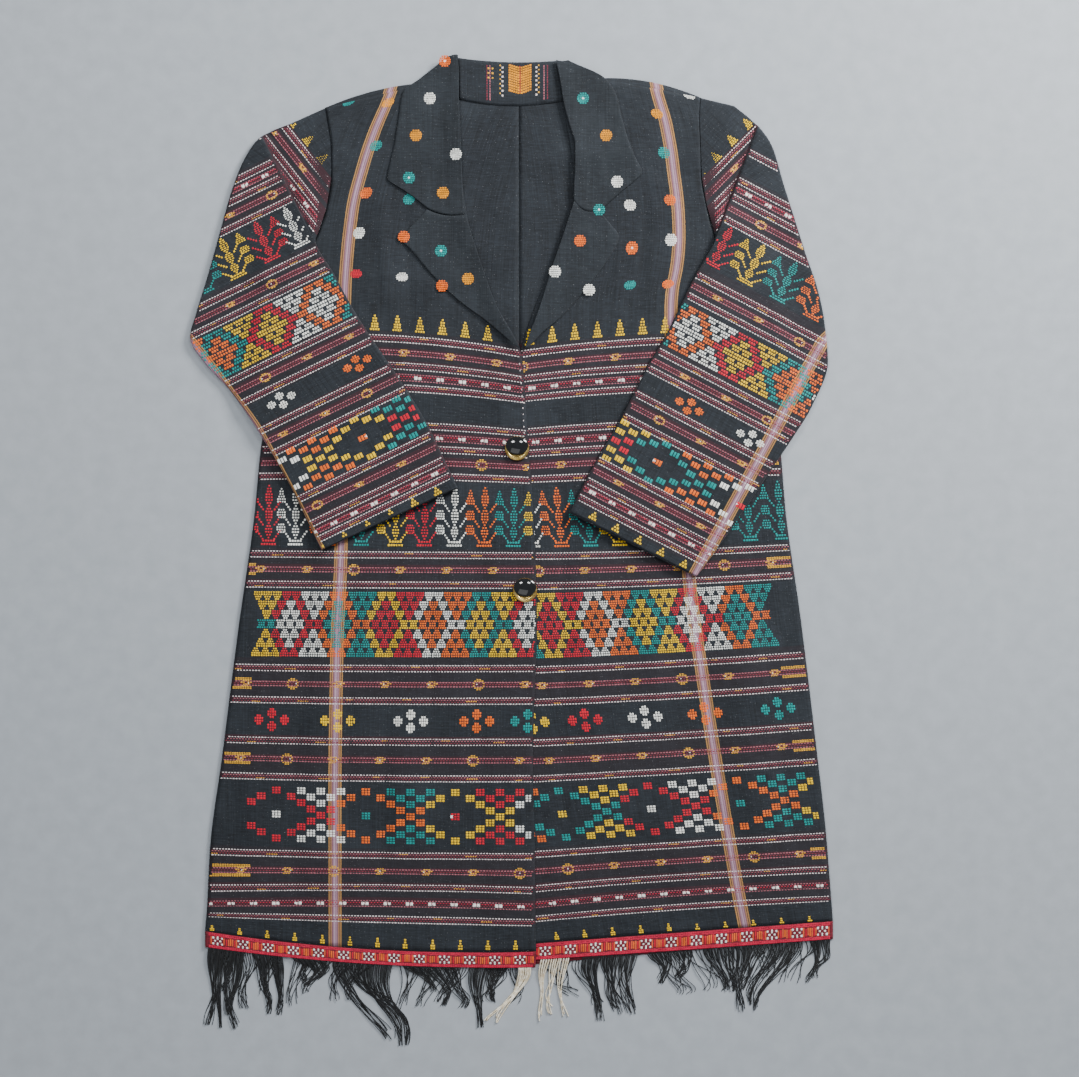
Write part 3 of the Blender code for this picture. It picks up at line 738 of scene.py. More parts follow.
def front_right_under(x: Array, y: Array) -> Array:
    """Height of the underside of the wearer's right front, which crosses over the left.

    Args:
        x: The points' x.
        y: The points' y.

    Returns:
        The height.
    """
    crossing = ease((x + 52.0) / 32.0)
    lift = (WALL + LAYER_GAP) * crossing
    return climb(y) + WALL + LAYER_GAP + lift + relief(FOLDS_RIGHT, x, y) * (1 - crossing)


def make_mesh(name: str, points: Array, faces: Sequence[Sequence[int]],
              materials: Sequence[bpy.types.Material]) -> bpy.types.Object:
    """Makes an object from points in table millimetres.

    Args:
        name: The object's name.
        points: Its vertices.
        faces: Each face's vertex numbers.
        materials: Its materials.

    Returns:
        The object, in the scene and riding on the jacket's one body.
    """
    mesh = bpy.data.meshes.new(name)
    mesh.from_pydata(to_world(np.asarray(points, float)).tolist(), [], list(faces))
    for material in materials:
        mesh.materials.append(material)
    mesh.polygons.foreach_set("use_smooth", [True] * len(mesh.polygons))
    mesh.update()
    made = bpy.data.objects.new(name, mesh)
    bpy.context.scene.collection.objects.link(made)
    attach(made, "root")
    return made


def paint_uv(made: bpy.types.Object, uv: Array, other: Array | None = None,
             on_other: Array | None = None) -> None:
    """Gives each vertex its cloth place, from millimetres to metres.

    Args:
        made: The object.
        uv: Its vertices' cloth places, one row each.
        other: Their places on another part of the cloth.
        on_other: Which face corners lie on that other part.
    """
    layer = made.data.uv_layers.new(name="cloth")
    index = np.zeros(len(made.data.loops), int)
    made.data.loops.foreach_get("vertex_index", index)
    corners = uv[index] if other is None else np.where(on_other[:, None], other[index], uv[index])
    layer.data.foreach_set("uv", (corners * MM).ravel())


def shell(name: str, top: Array, uv: Array, thick: float, material: bpy.types.Material,
          rounding: float = 0.3) -> bpy.types.Object:
    """Makes a thin cloth shell from its top surface as a grid.

    Args:
        name: The object's name.
        top: Grid of points, rows by columns by three.
        uv: Cloth place of each grid point.
        thick: The cloth's thickness.
        material: Its material.
        rounding: How far its edges are rounded, as a share of its thickness.

    Returns:
        The object.
    """
    rows, columns = top.shape[:2]
    top = top.copy()
    bottom = top.copy()
    bottom[..., 2] -= thick
    edge = np.zeros((rows, columns), bool)
    edge[[0, -1], :] = True
    edge[:, [0, -1]] = True
    top[edge, 2] -= thick * rounding
    bottom[edge, 2] += thick * rounding
    count = rows * columns
    number = np.arange(count).reshape(rows, columns)
    quads = np.stack([number[:-1, :-1], number[:-1, 1:], number[1:, 1:], number[1:, :-1]], -1)
    quads = quads.reshape(-1, 4)
    a, b, c = (top.reshape(-1, 3)[quads[:, i]] for i in range(3))
    if np.cross(b - a, c - b)[:, 2].sum() < 0:
        quads = quads[:, ::-1]
    ring = np.concatenate([number[0, :], number[1:, -1], number[-1, -2::-1], number[-2:0:-1, 0]])
    after = np.roll(ring, -1)
    walls = np.stack([ring, after, after + count, ring + count], -1)
    middle = top.reshape(-1, 3)[ring].mean(axis=0)
    p = top.reshape(-1, 3)
    outward = np.cross(p[after] - p[ring], np.array([0.0, 0.0, -1.0]))
    if (outward * (p[ring] - middle)).sum() < 0:
        walls = walls[:, ::-1]
    faces = np.concatenate([quads, quads[:, ::-1] + count, walls]).tolist()
    points = np.concatenate([top.reshape(-1, 3), bottom.reshape(-1, 3)])
    made = make_mesh(name, points, faces, [material])
    flat_uv = uv.reshape(-1, 2)
    paint_uv(made, np.concatenate([flat_uv, flat_uv]))
    return made


class Rows:
    """A panel's surface in plan, from its rows of the weave."""

    def __init__(self, rows: Sequence[Row], marks: Sequence[float],
                 lean: tuple[Sequence[float], Sequence[float]] = ((0, 1), (0, 0))) -> None:
        """Keeps the rows and their cloth heights.

        Args:
            rows: The rows, from the lowest up.
            marks: A rising cloth height for each row.
            lean: Cloth heights, and how far the warp leans there along x.
        """
        self.marks = list(marks)
        self.table = np.array([row.values() for row in rows])
        self.lean = lean

    def curve(self, mark: Array) -> list[Array]:
        """The six numbers of the row at a cloth height."""
        return [flowing(mark, self.marks, self.table[:, k]) for k in range(6)]

    def point(self, share: Array, mark: Array) -> tuple[Array, Array]:
        """Plan place at a share of the way out along the row at a cloth height.

        Args:
            share: The share.
            mark: The cloth height.

        Returns:
            The x and the y.
        """
        ix, iy, mx, my, ox, oy = self.curve(mark)
        # The row is a parabola through its three points
        first, last = (1 - share) * (1 - 2 * share), share * (2 * share - 1)
        middle = 4 * share * (1 - share)
        return first * ix + middle * mx + last * ox, first * iy + middle * my + last * oy

    def leaning(self, mark: Array) -> Array:
        """How far the warp leans at a cloth height."""
        return flowing(mark, *self.lean)

    def share_at(self, x: Array, mark: Array) -> Array:
        """Share of the way out at which a row reaches an x.

        Args:
            x: The points' x.
            mark: The cloth height.

        Returns:
            The share.
        """
        ix, _, mx, _, ox, _ = self.curve(mark)
        square, rate = 2 * ix - 4 * mx + 2 * ox, -3 * ix + 4 * mx - ox
        reach = x - ix
        root = np.sqrt(np.maximum(rate ** 2 + 4 * square * reach, 0))
        return 2 * reach / (rate + np.sign(rate) * root)

    def cloth_at(self, x: float, y: float) -> tuple[float, float]:
        """Cloth place of a plan place, found step by step.

        Args:
            x: The points' x.
            y: The points' y.

        Returns:
            The places across and up the cloth.
        """
        mark = np.array(float(y))
        for _ in range(12):
            mark = np.clip(mark + y - self.point(self.share_at(np.array(float(x)), mark), mark)[1],
                           self.marks[0], self.marks[-1])
        return float(x - self.leaning(mark)), float(mark)

    def place(self, u: Array, v: Array) -> tuple[Array, Array, Array]:
        """Plan place of a cloth place, and whether it lies on the panel.

        Args:
            u: Millimetres across the cloth from the centre front.
            v: Millimetres up the cloth from the hem.

        Returns:
            x, y and a mask.
        """
        share = self.share_at(u + self.leaning(v), v)
        x, y = self.point(share, v)
        return x, y, (share > 0.004) & (share < 0.996) & (v > self.marks[0]) & (v < self.marks[-1])


@dataclass
class Floats:
    """Raised floats of patterning weft, gathered for one surface and laid as one mesh.

    Attributes:
        place: Turns cloth places into plan places with a mask of those on the cloth.
        height: The surface's height at plan places.
        side: 1 for floats on top of the cloth, -1 for floats on its underside.
        lift: How far a float stands off the cloth, halved on an underside that lies on the floor.
        span: Only floats between these places across the cloth are kept.
        batches: Yarn, places, width and height of the floats so far.
    """

    place: Callable[[Array, Array], tuple[Array, Array, Array]]
    height: Height
    side: int = 1
    lift: float = 0.42
    span: tuple[float, float] = ALL_ACROSS
    batches: list[tuple[Yarn, Array, Array, float, float]] = field(default_factory=list)

    def put(self, yarn: Yarn, u: Array | float, v: Array | float, wide: float, tall: float) -> None:
        """Adds floats of one yarn and size at cloth places.

        Args:
            yarn: Its yarn.
            u: Place across the cloth.
            v: Place up the cloth.
            wide: Their width.
            tall: Their height.
        """
        u, v = np.broadcast_arrays(np.atleast_1d(np.asarray(u, float)), np.asarray(v, float))
        kept = (u >= self.span[0]) & (u <= self.span[1])
        u, v = u[kept], v[kept]
        self.batches.append((yarn, u.ravel().copy(), v.ravel().copy(), wide, tall))

    def lay(self, name: str) -> bpy.types.Object | None:
        """Lays all floats as one mesh of small rounded pads.

        Args:
            name: The mesh's name.

        Returns:
            The object, or nothing where no float lies on the cloth.
        """
        if not self.batches:
            return None
        yarns = sorted({batch[0] for batch in self.batches}, key=lambda yarn: yarn.name)
        slot = np.concatenate([np.full(len(b[1]), yarns.index(b[0])) for b in self.batches])
        u, v = (np.concatenate([b[k] for b in self.batches]) for k in (1, 2))
        wide, tall = (np.concatenate([np.full(len(b[1]), b[k]) for b in self.batches]) for k in (3, 4))
        keep = self.place(u, v)[2]
        for du, dv in ((1, 0), (-1, 0), (0, 1), (0, -1)):
            keep &= self.place(u + du * wide / 2, v + dv * tall / 2)[2]
        slot, u, v, wide, tall = slot[keep], u[keep], v[keep], wide[keep], tall[keep]
        if not len(u):
            return None

        def spot(at_u: Array, at_v: Array) -> Array:
            """The surface's points at cloth places."""
            x, y, _ = self.place(at_u, at_v)
            return np.stack([x, y, self.height(x, y)], -1)

        centre = spot(u, v)
        step = 0.8
        along_u = (spot(u + step, v) - spot(u - step, v)) / (2 * step)
        along_v = (spot(u, v + step) - spot(u, v - step)) / (2 * step)
        uneven = 1 + 0.10 * scatter(len(u), 3.0)
        half_w, half_t = (wide / 2 * uneven)[:, None], (tall / 2 * uneven)[:, None]
        # Every float starts a little off the cloth, so that no face of it lies in the cloth's own
        up = np.array([0.0, 0.0, float(self.side)])
        lift = self.lift * (1.0 if self.side > 0 else 0.5)
        # Floats narrower than 1.6 mm stand lower
        rise = lift * np.minimum(1.0, np.minimum(wide, tall) / 1.6)[:, None]
        lying = (wide >= tall)[:, None]
        ridge = np.where(lying, along_u * half_w * 0.55, along_v * half_t * 0.55)
        base = centre + up * 0.04
        corners = [base + du * along_u * half_w + dv * along_v * half_t
                   for du, dv in ((-1, -1), (1, -1), (1, 1), (-1, 1))]
        tops = [centre + up * rise - ridge, centre + up * rise + ridge]
        points = np.stack(corners + tops, 1)
        start = (np.arange(len(u)) * 6)[:, None]
        flat = lying[:, 0]
        # Each float is a low roof: its ridge runs along it, between its last two points
        lying_faces = [(0, 1, 5, 4), (1, 2, 5), (2, 3, 4, 5), (3, 0, 4)]
        standing_faces = [(0, 1, 4), (1, 2, 5, 4), (2, 3, 5), (3, 0, 4, 5)]
        faces: list[list[int]] = []
        slots: list[int] = []
        for mask, pattern in ((flat, lying_faces), (~flat, standing_faces)):
            for corner in pattern:
                order = corner if self.side > 0 else corner[::-1]
                faces += (start[mask] + np.array(order)).tolist()
                slots += slot[mask].tolist()
        made = make_mesh(name, points.reshape(-1, 3), faces,
                         [FloatThread(yarn).material() for yarn in yarns])
        made.data.polygons.foreach_set("material_index", slots)
        return made


class BandKind(Enum):
    """Kinds of band that the weaver works into the cloth."""

    CHAIN = "two white lines with two rose lines between them"
    OVALS = "two rose lines with gold ovals"
    DOTS = "rose lines with pairs of white dots"
    DIAMONDS = "stepped diamonds between triangles"
    PLANTS = "plants with buds"
    FLOWERS = "four-dot flowers"
    BLOCKS = "chain of small blocks"
    TRIANGLES = "stacked yellow triangles"
    SPRIGS = "small yellow triangles"


@dataclass(frozen=True)
class Band:
    """A band of pattern.

    Attributes:
        kind: What it shows.
        mark: Its middle, in cloth millimetres.
        spots: Places of its motifs with their yarns, or its first motif's place.
        size: Width of its motifs, or its period.
        span: Where its pattern starts and ends across the cloth.
    """

    kind: BandKind
    mark: float
    spots: tuple = ()
    size: float = 0.0
    span: tuple[float, float] = ALL_ACROSS


CHAIN, OVALS, DOTS = BandKind.CHAIN, BandKind.OVALS, BandKind.DOTS

# The narrow lines that every panel has, from the hem up
BODY_LINES = [Band(kind, mark) for kind, mark in (
    (CHAIN, 44.5), (DOTS, 60), (CHAIN, 76.5), (OVALS, 93.5), (CHAIN, 110.5), (CHAIN, 188.5),
    (OVALS, 206.5), (CHAIN, 225), (CHAIN, 266), (OVALS, 282.5), (CHAIN, 298.5), (CHAIN, 382),
    (OVALS, 397), (CHAIN, 412), (CHAIN, 489), (OVALS, 502), (CHAIN, 515), (DOTS, 526), (CHAIN, 537),
    (CHAIN, 572), (DOTS, 582), (CHAIN, 592.5), (OVALS, 605), (CHAIN, 618))]

# Spans of cloth height in which the ground between the lines is a little redder
BODY_GROUPS = ((40, 115), (186, 230), (261, 305), (377, 417), (484, 542), (567, 623))

# Short names for the motifs' yarns in the tables
Y, W, T, R, O = CYCLE

FRONT_RIGHT_BANDS = BODY_LINES + [
    Band(BandKind.SPRIGS, 19.8, (1.5,), 27.6),
    Band(BandKind.BLOCKS, 150.5, (-193.0, (W, T, R, O, Y), (O, Y, W, T, R), (T, R, O, Y, W)), 89.5,
         (-275.0, 400.0)),
    Band(BandKind.FLOWERS, 246, ((-243, R), (-177, Y), (-104, W), (-38, O), (13, T))),
    Band(BandKind.DIAMONDS, 342.5, (-13.2, 5), 47.5, (-260.0, 400.0)),
    Band(BandKind.PLANTS, 450, ((-252, R), (-225, W), (-192, O), (-159, T), (-125, Y), (-96, R), (-66, W),
                                (-36, O), (-7, T), (22, Y)), 29.0),
    Band(BandKind.TRIANGLES, 633, (-35.4,), 22.6, (-400.0, -24.0)),
]
FRONT_LEFT_BANDS = BODY_LINES + [
    Band(BandKind.SPRIGS, 20, (-17.5,), 28.1, (-400.0, 110.0)),
    Band(BandKind.SPRIGS, 17, (-17.5,), 28.1, (110.0, 400.0)),
    Band(BandKind.BLOCKS, 150.5, (54.0, (Y, W, T, R, O), (R, O, Y, W, T), (W, T, R, O, Y)), 89.0,
         (-400.0, 262.0)),
    Band(BandKind.FLOWERS, 246, ((47, R), (107, W), (167, O), (240, T), (-6, Y))),
    Band(BandKind.DIAMONDS, 342.5, (49.1, 3), 47.0, (-400.0, 250.0)),
    Band(BandKind.PLANTS, 450, ((46, O), (75, T), (104, Y), (133, R), (165, W), (197, O), (235, T),
                                (267, T), (17, W)), 29.0),
    Band(BandKind.TRIANGLES, 633, (51.0,), 22.6, (17.0, 400.0)),
]
BACK_BANDS = BODY_LINES + [
    Band(BandKind.SPRIGS, 22, (0.0,), 27.6),
    Band(BandKind.BLOCKS, 151, (0.0, CYCLE, (R, O, Y, W, T), (W, T, R, O, Y)), 89.5),
    Band(BandKind.FLOWERS, 246, tuple((66 * i, CYCLE[i % 5]) for i in range(-4, 5))),
    Band(BandKind.DIAMONDS, 345, (0.0, 2), 47.0),
    Band(BandKind.PLANTS, 450, tuple((29.5 * i, CYCLE[(2 - i) % 5]) for i in range(-8, 9)), 29.0),
    Band(BandKind.TRIANGLES, 633, (0.0,), 22.6),
]


def sleeve_bands(raise_by: float, blocks: tuple, flowers: tuple, diamonds: tuple, plants: tuple,
                 sprigs: tuple) -> list[Band]:
    """Lists a sleeve's bands from its cuff up.

    Args:
        raise_by: How much higher the lowest bands lie than on the wearer's right sleeve.
        blocks: Places of the block chain.
        flowers: Places of the flowers.
        diamonds: Place of the first diamond.
        plants: Places of the plants.
        sprigs: Place of a small triangle above the cuff.

    Returns:
        The bands.
    """
    low, high = raise_by, -raise_by
    return [Band(*band) for band in (
        (BandKind.SPRIGS, 4.5 + low * 0.6, sprigs, 25.5), (CHAIN, 12.5 + low), (DOTS, 20.5 + low * 1.4),
        (CHAIN, 29.5 + low * 1.3), (OVALS, 44 + low * 0.8), (CHAIN, 57 + low * 0.4),
        (BandKind.BLOCKS, 84.5, blocks, 93.6), (CHAIN, 109.5), (OVALS, 122.5), (CHAIN, 135),
        (BandKind.FLOWERS, 153.5 + high, flowers), (CHAIN, 168.2 + high), (OVALS, 181 + high * 1.7),
        (CHAIN, 192.8 + high * 1.9), (BandKind.DIAMONDS, 222 + high * 1.5, diamonds, 56.0),
        (CHAIN, 251 + high), (OVALS, 262 + high), (CHAIN, 273 + high),
        (BandKind.PLANTS, 304, plants, 34.0), (CHAIN, 330.5), (OVALS, 342.5), (CHAIN, 354), (DOTS, 363),
        (CHAIN, 371.5), (CHAIN, 401))]


SLEEVE_RIGHT_BANDS = sleeve_bands(0.0, (-57.9, (T, O, W), (Y, W, R), (O, R, T)), ((45.4, W), (-38.7, O)),
                                  (-5.7, 1), ((-41, W), (-8, R), (30, Y), (66, T)), (-3.5,))
SLEEVE_LEFT_BANDS = sleeve_bands(5.0, (-63.5, (Y, O, W), (T, W, R), (O, R, T)), ((-14.3, O), (54.5, W)),
                                 (-22.0, 1), ((-60, R), (-23, Y), (14, T), (52, O)), (3.0,))
CAP_BANDS = [
    Band(CHAIN, 0.5), Band(DOTS, 8), Band(CHAIN, 16.5), Band(OVALS, 28), Band(CHAIN, 39.5),
    Band(BandKind.TRIANGLES, 50.5, (10.0,), 23.0),
]


class Weaver:
    """Works bands into a surface, float by float, from charts that a weaver would count."""

    def __init__(self, floats: Floats, reach: tuple[float, float], rise: float = 1.0,
                 bars: bool = False) -> None:
        """Keeps the surface and the scale of its pattern.

        Args:
            floats: Where the floats are gathered.
            reach: Lowest and highest place across the cloth.
            rise: Height of the motifs as a share of the body's.
            bars: Whether the motifs are woven in long upright floats, as on the sleeves.
        """
        self.floats = floats
        self.low, self.high = reach
        self.rise = rise
        self.bars = bars

    def along(self, step: float, shift: float = 0.0) -> Array:
        """Evenly spaced places across the cloth."""
        first = math.ceil((self.low - shift) / step)
        return np.arange(first, math.floor((self.high - shift) / step) + 1) * step + shift

    def repeats(self, start: float, size: float) -> range:
        """Numbers of the repeats that touch the surface, with one more on each side."""
        return range(math.floor((self.low - start) / size) - 1, math.ceil((self.high - start) / size) + 2)

    def dashes(self, yarn: Yarn, mark: float, shift: float, wide: float = 2.0, tall: float = 1.3,
               step: float = 3.0) -> None:
        """A line of short floats.

        Args:
            yarn: Their yarn.
            mark: Their height up the cloth.
            shift: Where the first one lies.
            wide: Each float's width.
            tall: Each float's height.
            step: Distance from one to the next.
        """
        self.floats.put(yarn, self.along(step, shift), mark, wide, tall)

    def chain(self, band: Band) -> None:
        """Two white lines with two rose lines between them.

        Args:
            band: The band.
        """
        self.dashes(Yarn.ASH, band.mark + 3.0, 0.0, 1.9, 0.95)
        self.dashes(Yarn.ROSE, band.mark + 1.0, 1.5, 1.7, 0.95)
        self.dashes(Yarn.MAROON, band.mark - 1.0, 0.0, 1.7, 0.95)
        self.dashes(Yarn.ASH, band.mark - 3.0, 1.5, 1.9, 0.95)
        for i, u in enumerate(self.along(57.0, 17 + 21 * math.sin(3 * band.mark))):
            drift = 16 * math.sin(7.0 * i + band.mark)
            self.floats.put(Yarn.GOLD, u + drift + np.arange(3 + i % 3) * 2.3,
                            band.mark + 1.6 * math.sin(5.0 * i), 1.4, 0.95)

    def ovals(self, band: Band) -> None:
        """Two rose lines with gold ovals and gold rings on them by turns.

        Args:
            band: The band.
        """
        self.dashes(Yarn.ROSE, band.mark + 2.1, 0.0, 2.1, 1.1)
        self.dashes(Yarn.MAROON, band.mark, 1.5, 2.0, 1.0)
        self.dashes(Yarn.ROSE, band.mark - 2.1, 1.5, 2.1, 1.1)
        small = ((2.6, (-2.4, 0.0, 2.4)), (0.9, (-4.6, -2.3, 2.3, 4.6)), (-0.9, (-2.3, 0.0, 2.3)),
                 (-2.6, (-3.6, -1.2, 1.2)))
        ring = ((5.0, (-1.3, 1.3)), (3.4, (-3.7, -1.2, 1.2, 3.7)), (-3.4, (-3.7, -1.2, 1.2, 3.7)),
                (-5.0, (-1.3, 1.3)), (1.4, (-4.9, 4.9)), (-1.4, (-4.9, 4.9)))
        for i, u in enumerate(self.along(46.5, 12.0 + 9 * math.sin(band.mark))):
            for height, places in ring if (i + int(band.mark)) % 4 == 0 else small:
                self.floats.put(Yarn.GOLD, u + np.array(places), band.mark + height * self.rise, 1.8, 1.2)
            # A small white float in each oval is a painted glint.
            self.floats.put(Yarn.WHITE, u + 3.5 * math.sin(i + band.mark), band.mark + 0.2, 1.3, 1.1)
        # Solid gold bars beside the side seams
        for first, last in ((-320, -263), (250, 320)) if not self.bars else ():
            for height in (5.2, 3.7, -3.7, -5.2):
                self.floats.put(Yarn.GOLD, np.arange(first, last, 2.4), band.mark + height, 1.9, 1.1)

    def dots(self, band: Band) -> None:
        """Rose lines with pairs of white dots between them.

        Args:
            band: The band.
        """
        self.dashes(Yarn.ROSE, band.mark + 2.9 * self.rise, 0.0, 1.9, 1.0)
        self.dashes(Yarn.CARMINE, band.mark + 1.0, 1.5, 1.6, 0.9)
        self.dashes(Yarn.MAROON, band.mark - 1.0, 0.0, 1.6, 0.9)
        self.dashes(Yarn.ROSE, band.mark - 2.9 * self.rise, 1.5, 1.9, 1.0)
        for u in self.along(22.3, 7.0):
            self.floats.put(Yarn.WHITE, np.array([u - 2.0, u + 2.0]), band.mark, 3.1, 3.1)

    def tooth(self, yarn: Yarn, u: float, v: float, cell: float, high: float, facing: int) -> None:
        """A small block of floats that narrows toward the band's middle.

        Args:
            yarn: Its yarn.
            u: Its middle across the cloth.
            v: Its middle up the cloth.
            cell: Its width.
            high: Its height.
            facing: 1 where its wide side is up, -1 where it is down, 0 for a crossed block.
        """
        if self.bars:
            widths = (4, 3) if facing else (4, 4)
            pitch_u, pitch_v = cell / 4.2, high / 2.15
        else:
            widths = (4, 4, 3, 2) if facing else (4, 3, 3, 4)
            pitch_u, pitch_v = cell / 4.15, high / 4.1
        rows = len(widths)
        for i, count in enumerate(widths):
            height = (rows - 1) / 2 - i
            self.floats.put(yarn, u + spaced(count, pitch_u),
                            v + height * pitch_v * (facing or 1), pitch_u * 0.70, pitch_v * 0.66)

    def diamonds(self, band: Band) -> None:
        """Stepped diamonds between triangles, on a lattice of five cells to a repeat.

        Args:
            band: The band.
        """
        start, colour = band.spots
        cell, high = band.size / 5, 9.4 * self.rise
        way, inner_step, order = (-1, 0, -1) if self.bars else (1, 1, 1)
        for j in self.repeats(start, band.size):
            triangle = start + j * band.size
            diamond = triangle + way * band.size / 2
            index = colour + order * j
            own, outline = CYCLE[index % 5], CYCLE[(index + 3) % 5]
            inner = CYCLE[(index + inner_step) % 5]
            ties = (CYCLE[(index + 2) % 5],) * 2
            if self.bars:
                ties = (outline, CYCLE[(index + order + 3) % 5])
            if not band.span[0] < triangle < band.span[1]:
                continue
            closed = band.span[0] < diamond < band.span[1]
            for level in (-3, -2, -1, 1, 2, 3):
                facing = 1 if level > 0 else -1
                v = band.mark + level * high
                steps = abs(level)
                for i in range(steps):
                    self.tooth(own, triangle + (i - (steps - 1) / 2) * cell, v, cell, high, facing)
                for side in (-1, 1) if closed else ():
                    self.tooth(outline, diamond + side * (4 - steps) * cell / 2, v, cell, high, facing)
                for i in range(3 - steps if closed else 0):
                    self.tooth(inner, diamond + (i - (2 - steps) / 2) * cell, v, cell, high, facing)
            for side, tie in zip((-0.5, 0.5), ties):
                self.tooth(tie, triangle + side * cell, band.mark, cell, high, 0)
            for i in (-1, 0, 1) if closed else ():
                self.tooth(inner, diamond + i * cell, band.mark, cell, high, 0)

    def plants(self, band: Band) -> None:
        """Plants of one colour each: a jointed trunk on a base, stems, and a column of buds.

        Args:
            band: The band.
        """
        rise = self.rise
        spread = band.size / 29.0
        trunk = (1, 2, 2, 3, 3, 3, 2, 1, 2, 3, 3, 3, 2, 1, 2, 3, 3, 2, 1)
        for u, yarn in band.spots:
            pitch = 2.6 * spread
            for i, count in enumerate(trunk):
                self.floats.put(yarn, u + spaced(count, pitch),
                                band.mark + (29.5 - i * 2.85) * rise, pitch * 0.68, 1.6 * rise)
            for height, count in ((-24.8, 5), (-28.2, 6)):
                self.floats.put(yarn, u + spaced(count, pitch),
                                band.mark + height * rise, pitch * 0.74, 1.9 * rise)
            for height in (-23.0, -9.0, 6.0):
                for step in range(4):
                    for side in (-1, 1):
                        self.floats.put(yarn, u + side * (5.8 + step * 1.75) * spread,
                                        band.mark + (height + step * 2.5) * rise, 1.7, 1.7)
            for height, counts in ((-12.5, (3, 4, 4, 3)), (2.0, (3, 4, 4, 3)), (20.0, (1, 2, 2, 3, 4, 4))):
                for i, count in enumerate(counts):
                    row = (len(counts) - 1) / 2 - i
                    self.floats.put(yarn, u - 14.6 * spread + spaced(count, 2.3) * spread,
                                    band.mark + (height + row * 2.5) * rise, 1.5 * spread, 1.45 * rise)

    def flowers(self, band: Band) -> None:
        """Flowers of four woven dots.

        Args:
            band: The band.
        """
        for u, yarn in band.spots:
            for du, dv in ((0, 6.6), (0, -6.6), (12.8, 0), (-12.8, 0)):
                self.dot(yarn, u + du * (0.86 if self.bars else 1.0), band.mark + dv * self.rise)

    def dot(self, yarn: Yarn, u: float, v: float) -> None:
        """A woven dot, about 9 mm across, with a hollow at its middle.

        Args:
            yarn: Its yarn.
            u: Place across the cloth.
            v: Place up the cloth.
        """
        for height, places in ((3.9, (-1.2, 1.2)), (1.4, (-3.4, -1.15, 1.15, 3.4)),
                               (-1.4, (-3.4, -1.15, 1.15, 3.4)), (-3.9, (-1.2, 1.2))):
            self.floats.put(yarn, u + np.array(places), v + height * self.rise, 1.8, 2.2 * self.rise)

    def rosette(self, yarn: Yarn, u: float, v: float) -> None:
        """A round dot of close floats, 12 mm across, some with a glass bead at the middle.

        Args:
            yarn: Its yarn.
            u: Place across the cloth.
            v: Place up the cloth.
        """
        dyed = Yarn.AMBER if yarn is Yarn.YELLOW else yarn
        for height in (-4.8, -2.9, -1.0, 1.0, 2.9, 4.8):
            half = math.sqrt(6.0 ** 2 - height ** 2)
            count = max(2, round(2 * half / 2.1))
            self.floats.put(dyed, u + spaced(count, 2) * half / count, v + height, 1.85, 1.55)
        if yarn in (Yarn.TEAL, Yarn.ORANGE) and int(u) % 2:
            self.floats.put(Yarn.BEAD, u, v, 2.4, 2.4)
            self.floats.put(Yarn.BEAD, u, v, 1.5, 2.9)

    def block(self, yarn: Yarn, u: float, v: float) -> None:
        """Three by three floats, or three upright ones on the sleeves.

        Args:
            yarn: Its yarn.
            u: Place across the cloth.
            v: Place up the cloth.
        """
        if self.bars:
            self.floats.put(yarn, u + np.array([-3.2, 0, 3.2]), v, 2.35, 5.2)
            return
        for height in (-2.45, 0.0, 2.45):
            self.floats.put(yarn, u + np.array([-3.0, 0, 3.0]), v + height, 2.25, 1.8)

    def blocks(self, band: Band) -> None:
        """Crosses of blocks joined by diamonds of blocks.

        Args:
            band: The band.
        """
        start, crosses, links, hearts = band.spots
        half = 4 if self.bars else 4.5
        step = band.size / (2 * half)
        high = 5.0 if self.bars else 6.1
        for j in self.repeats(start, band.size):
            u = start + j * band.size
            own, after = crosses[j % len(crosses)], links[j % len(links)]
            before, heart = links[(j - 1) % len(links)], hearts[j % len(hearts)]
            crossed = u > band.span[0]
            cross = ((0, 2), (1, 3), (-1, 3), (0, 4), (2, 4), (-2, 4)) if crossed else ()
            for side in (-1, 1):
                for column, level in cross:
                    self.block(own, u + column * step, band.mark + side * level * high)
                for i in (1, 2, 3) if crossed else (2, 3):
                    self.block(before, u - i * step, band.mark + side * i * high)
                    self.block(before if i == 1 else after, u + i * step, band.mark + side * i * high)
                self.block(after, u + half * step, band.mark + side * 4 * high)
            if crossed:
                self.block(before, u, band.mark)
            self.block(heart, u + half * step, band.mark)
            if heart in (Yarn.ORANGE, Yarn.RED):
                self.floats.put(Yarn.BEAD, u + half * step - 3.5, band.mark, 2.4, 2.4)

    def triangles(self, band: Band) -> None:
        """Stacked yellow triangles, 14 mm tall.

        Args:
            band: The band.
        """
        for u in self.along(band.size, band.spots[0]):
            for i, count in enumerate((1, 2, 2, 3, 3, 4)):
                self.floats.put(Y, u + spaced(count, 2.5),
                                band.mark + (6.4 - i * 2.6) * self.rise, 1.8, 1.75 * self.rise)

    def sprigs(self, band: Band) -> None:
        """Small yellow triangles of a few floats.

        Args:
            band: The band.
        """
        if self.bars:
            counts, pitch, top, drop, tall = (1, 2, 3), 2.9, 3.0, 2.9, 2.1
        else:
            counts, pitch, top, drop, tall = (1, 1, 2, 2, 3, 3), 2.4, 6.2, 2.35, 1.6
        for u in self.along(band.size, band.spots[0]):
            for i, count in enumerate(counts):
                self.floats.put(Y, u + spaced(count, pitch), band.mark + (top - i * drop), 2.0, tall)

    def work(self, bands: Iterable[Band]) -> None:
        """Works each band in turn.

        Args:
            bands: The bands.
        """
        for band in bands:
            # Diamonds end on a whole motif by themselves
            if band.kind is not BandKind.DIAMONDS:
                self.floats.span = band.span
            getattr(self, band.kind.name.lower())(band)
            self.floats.span = ALL_ACROSS


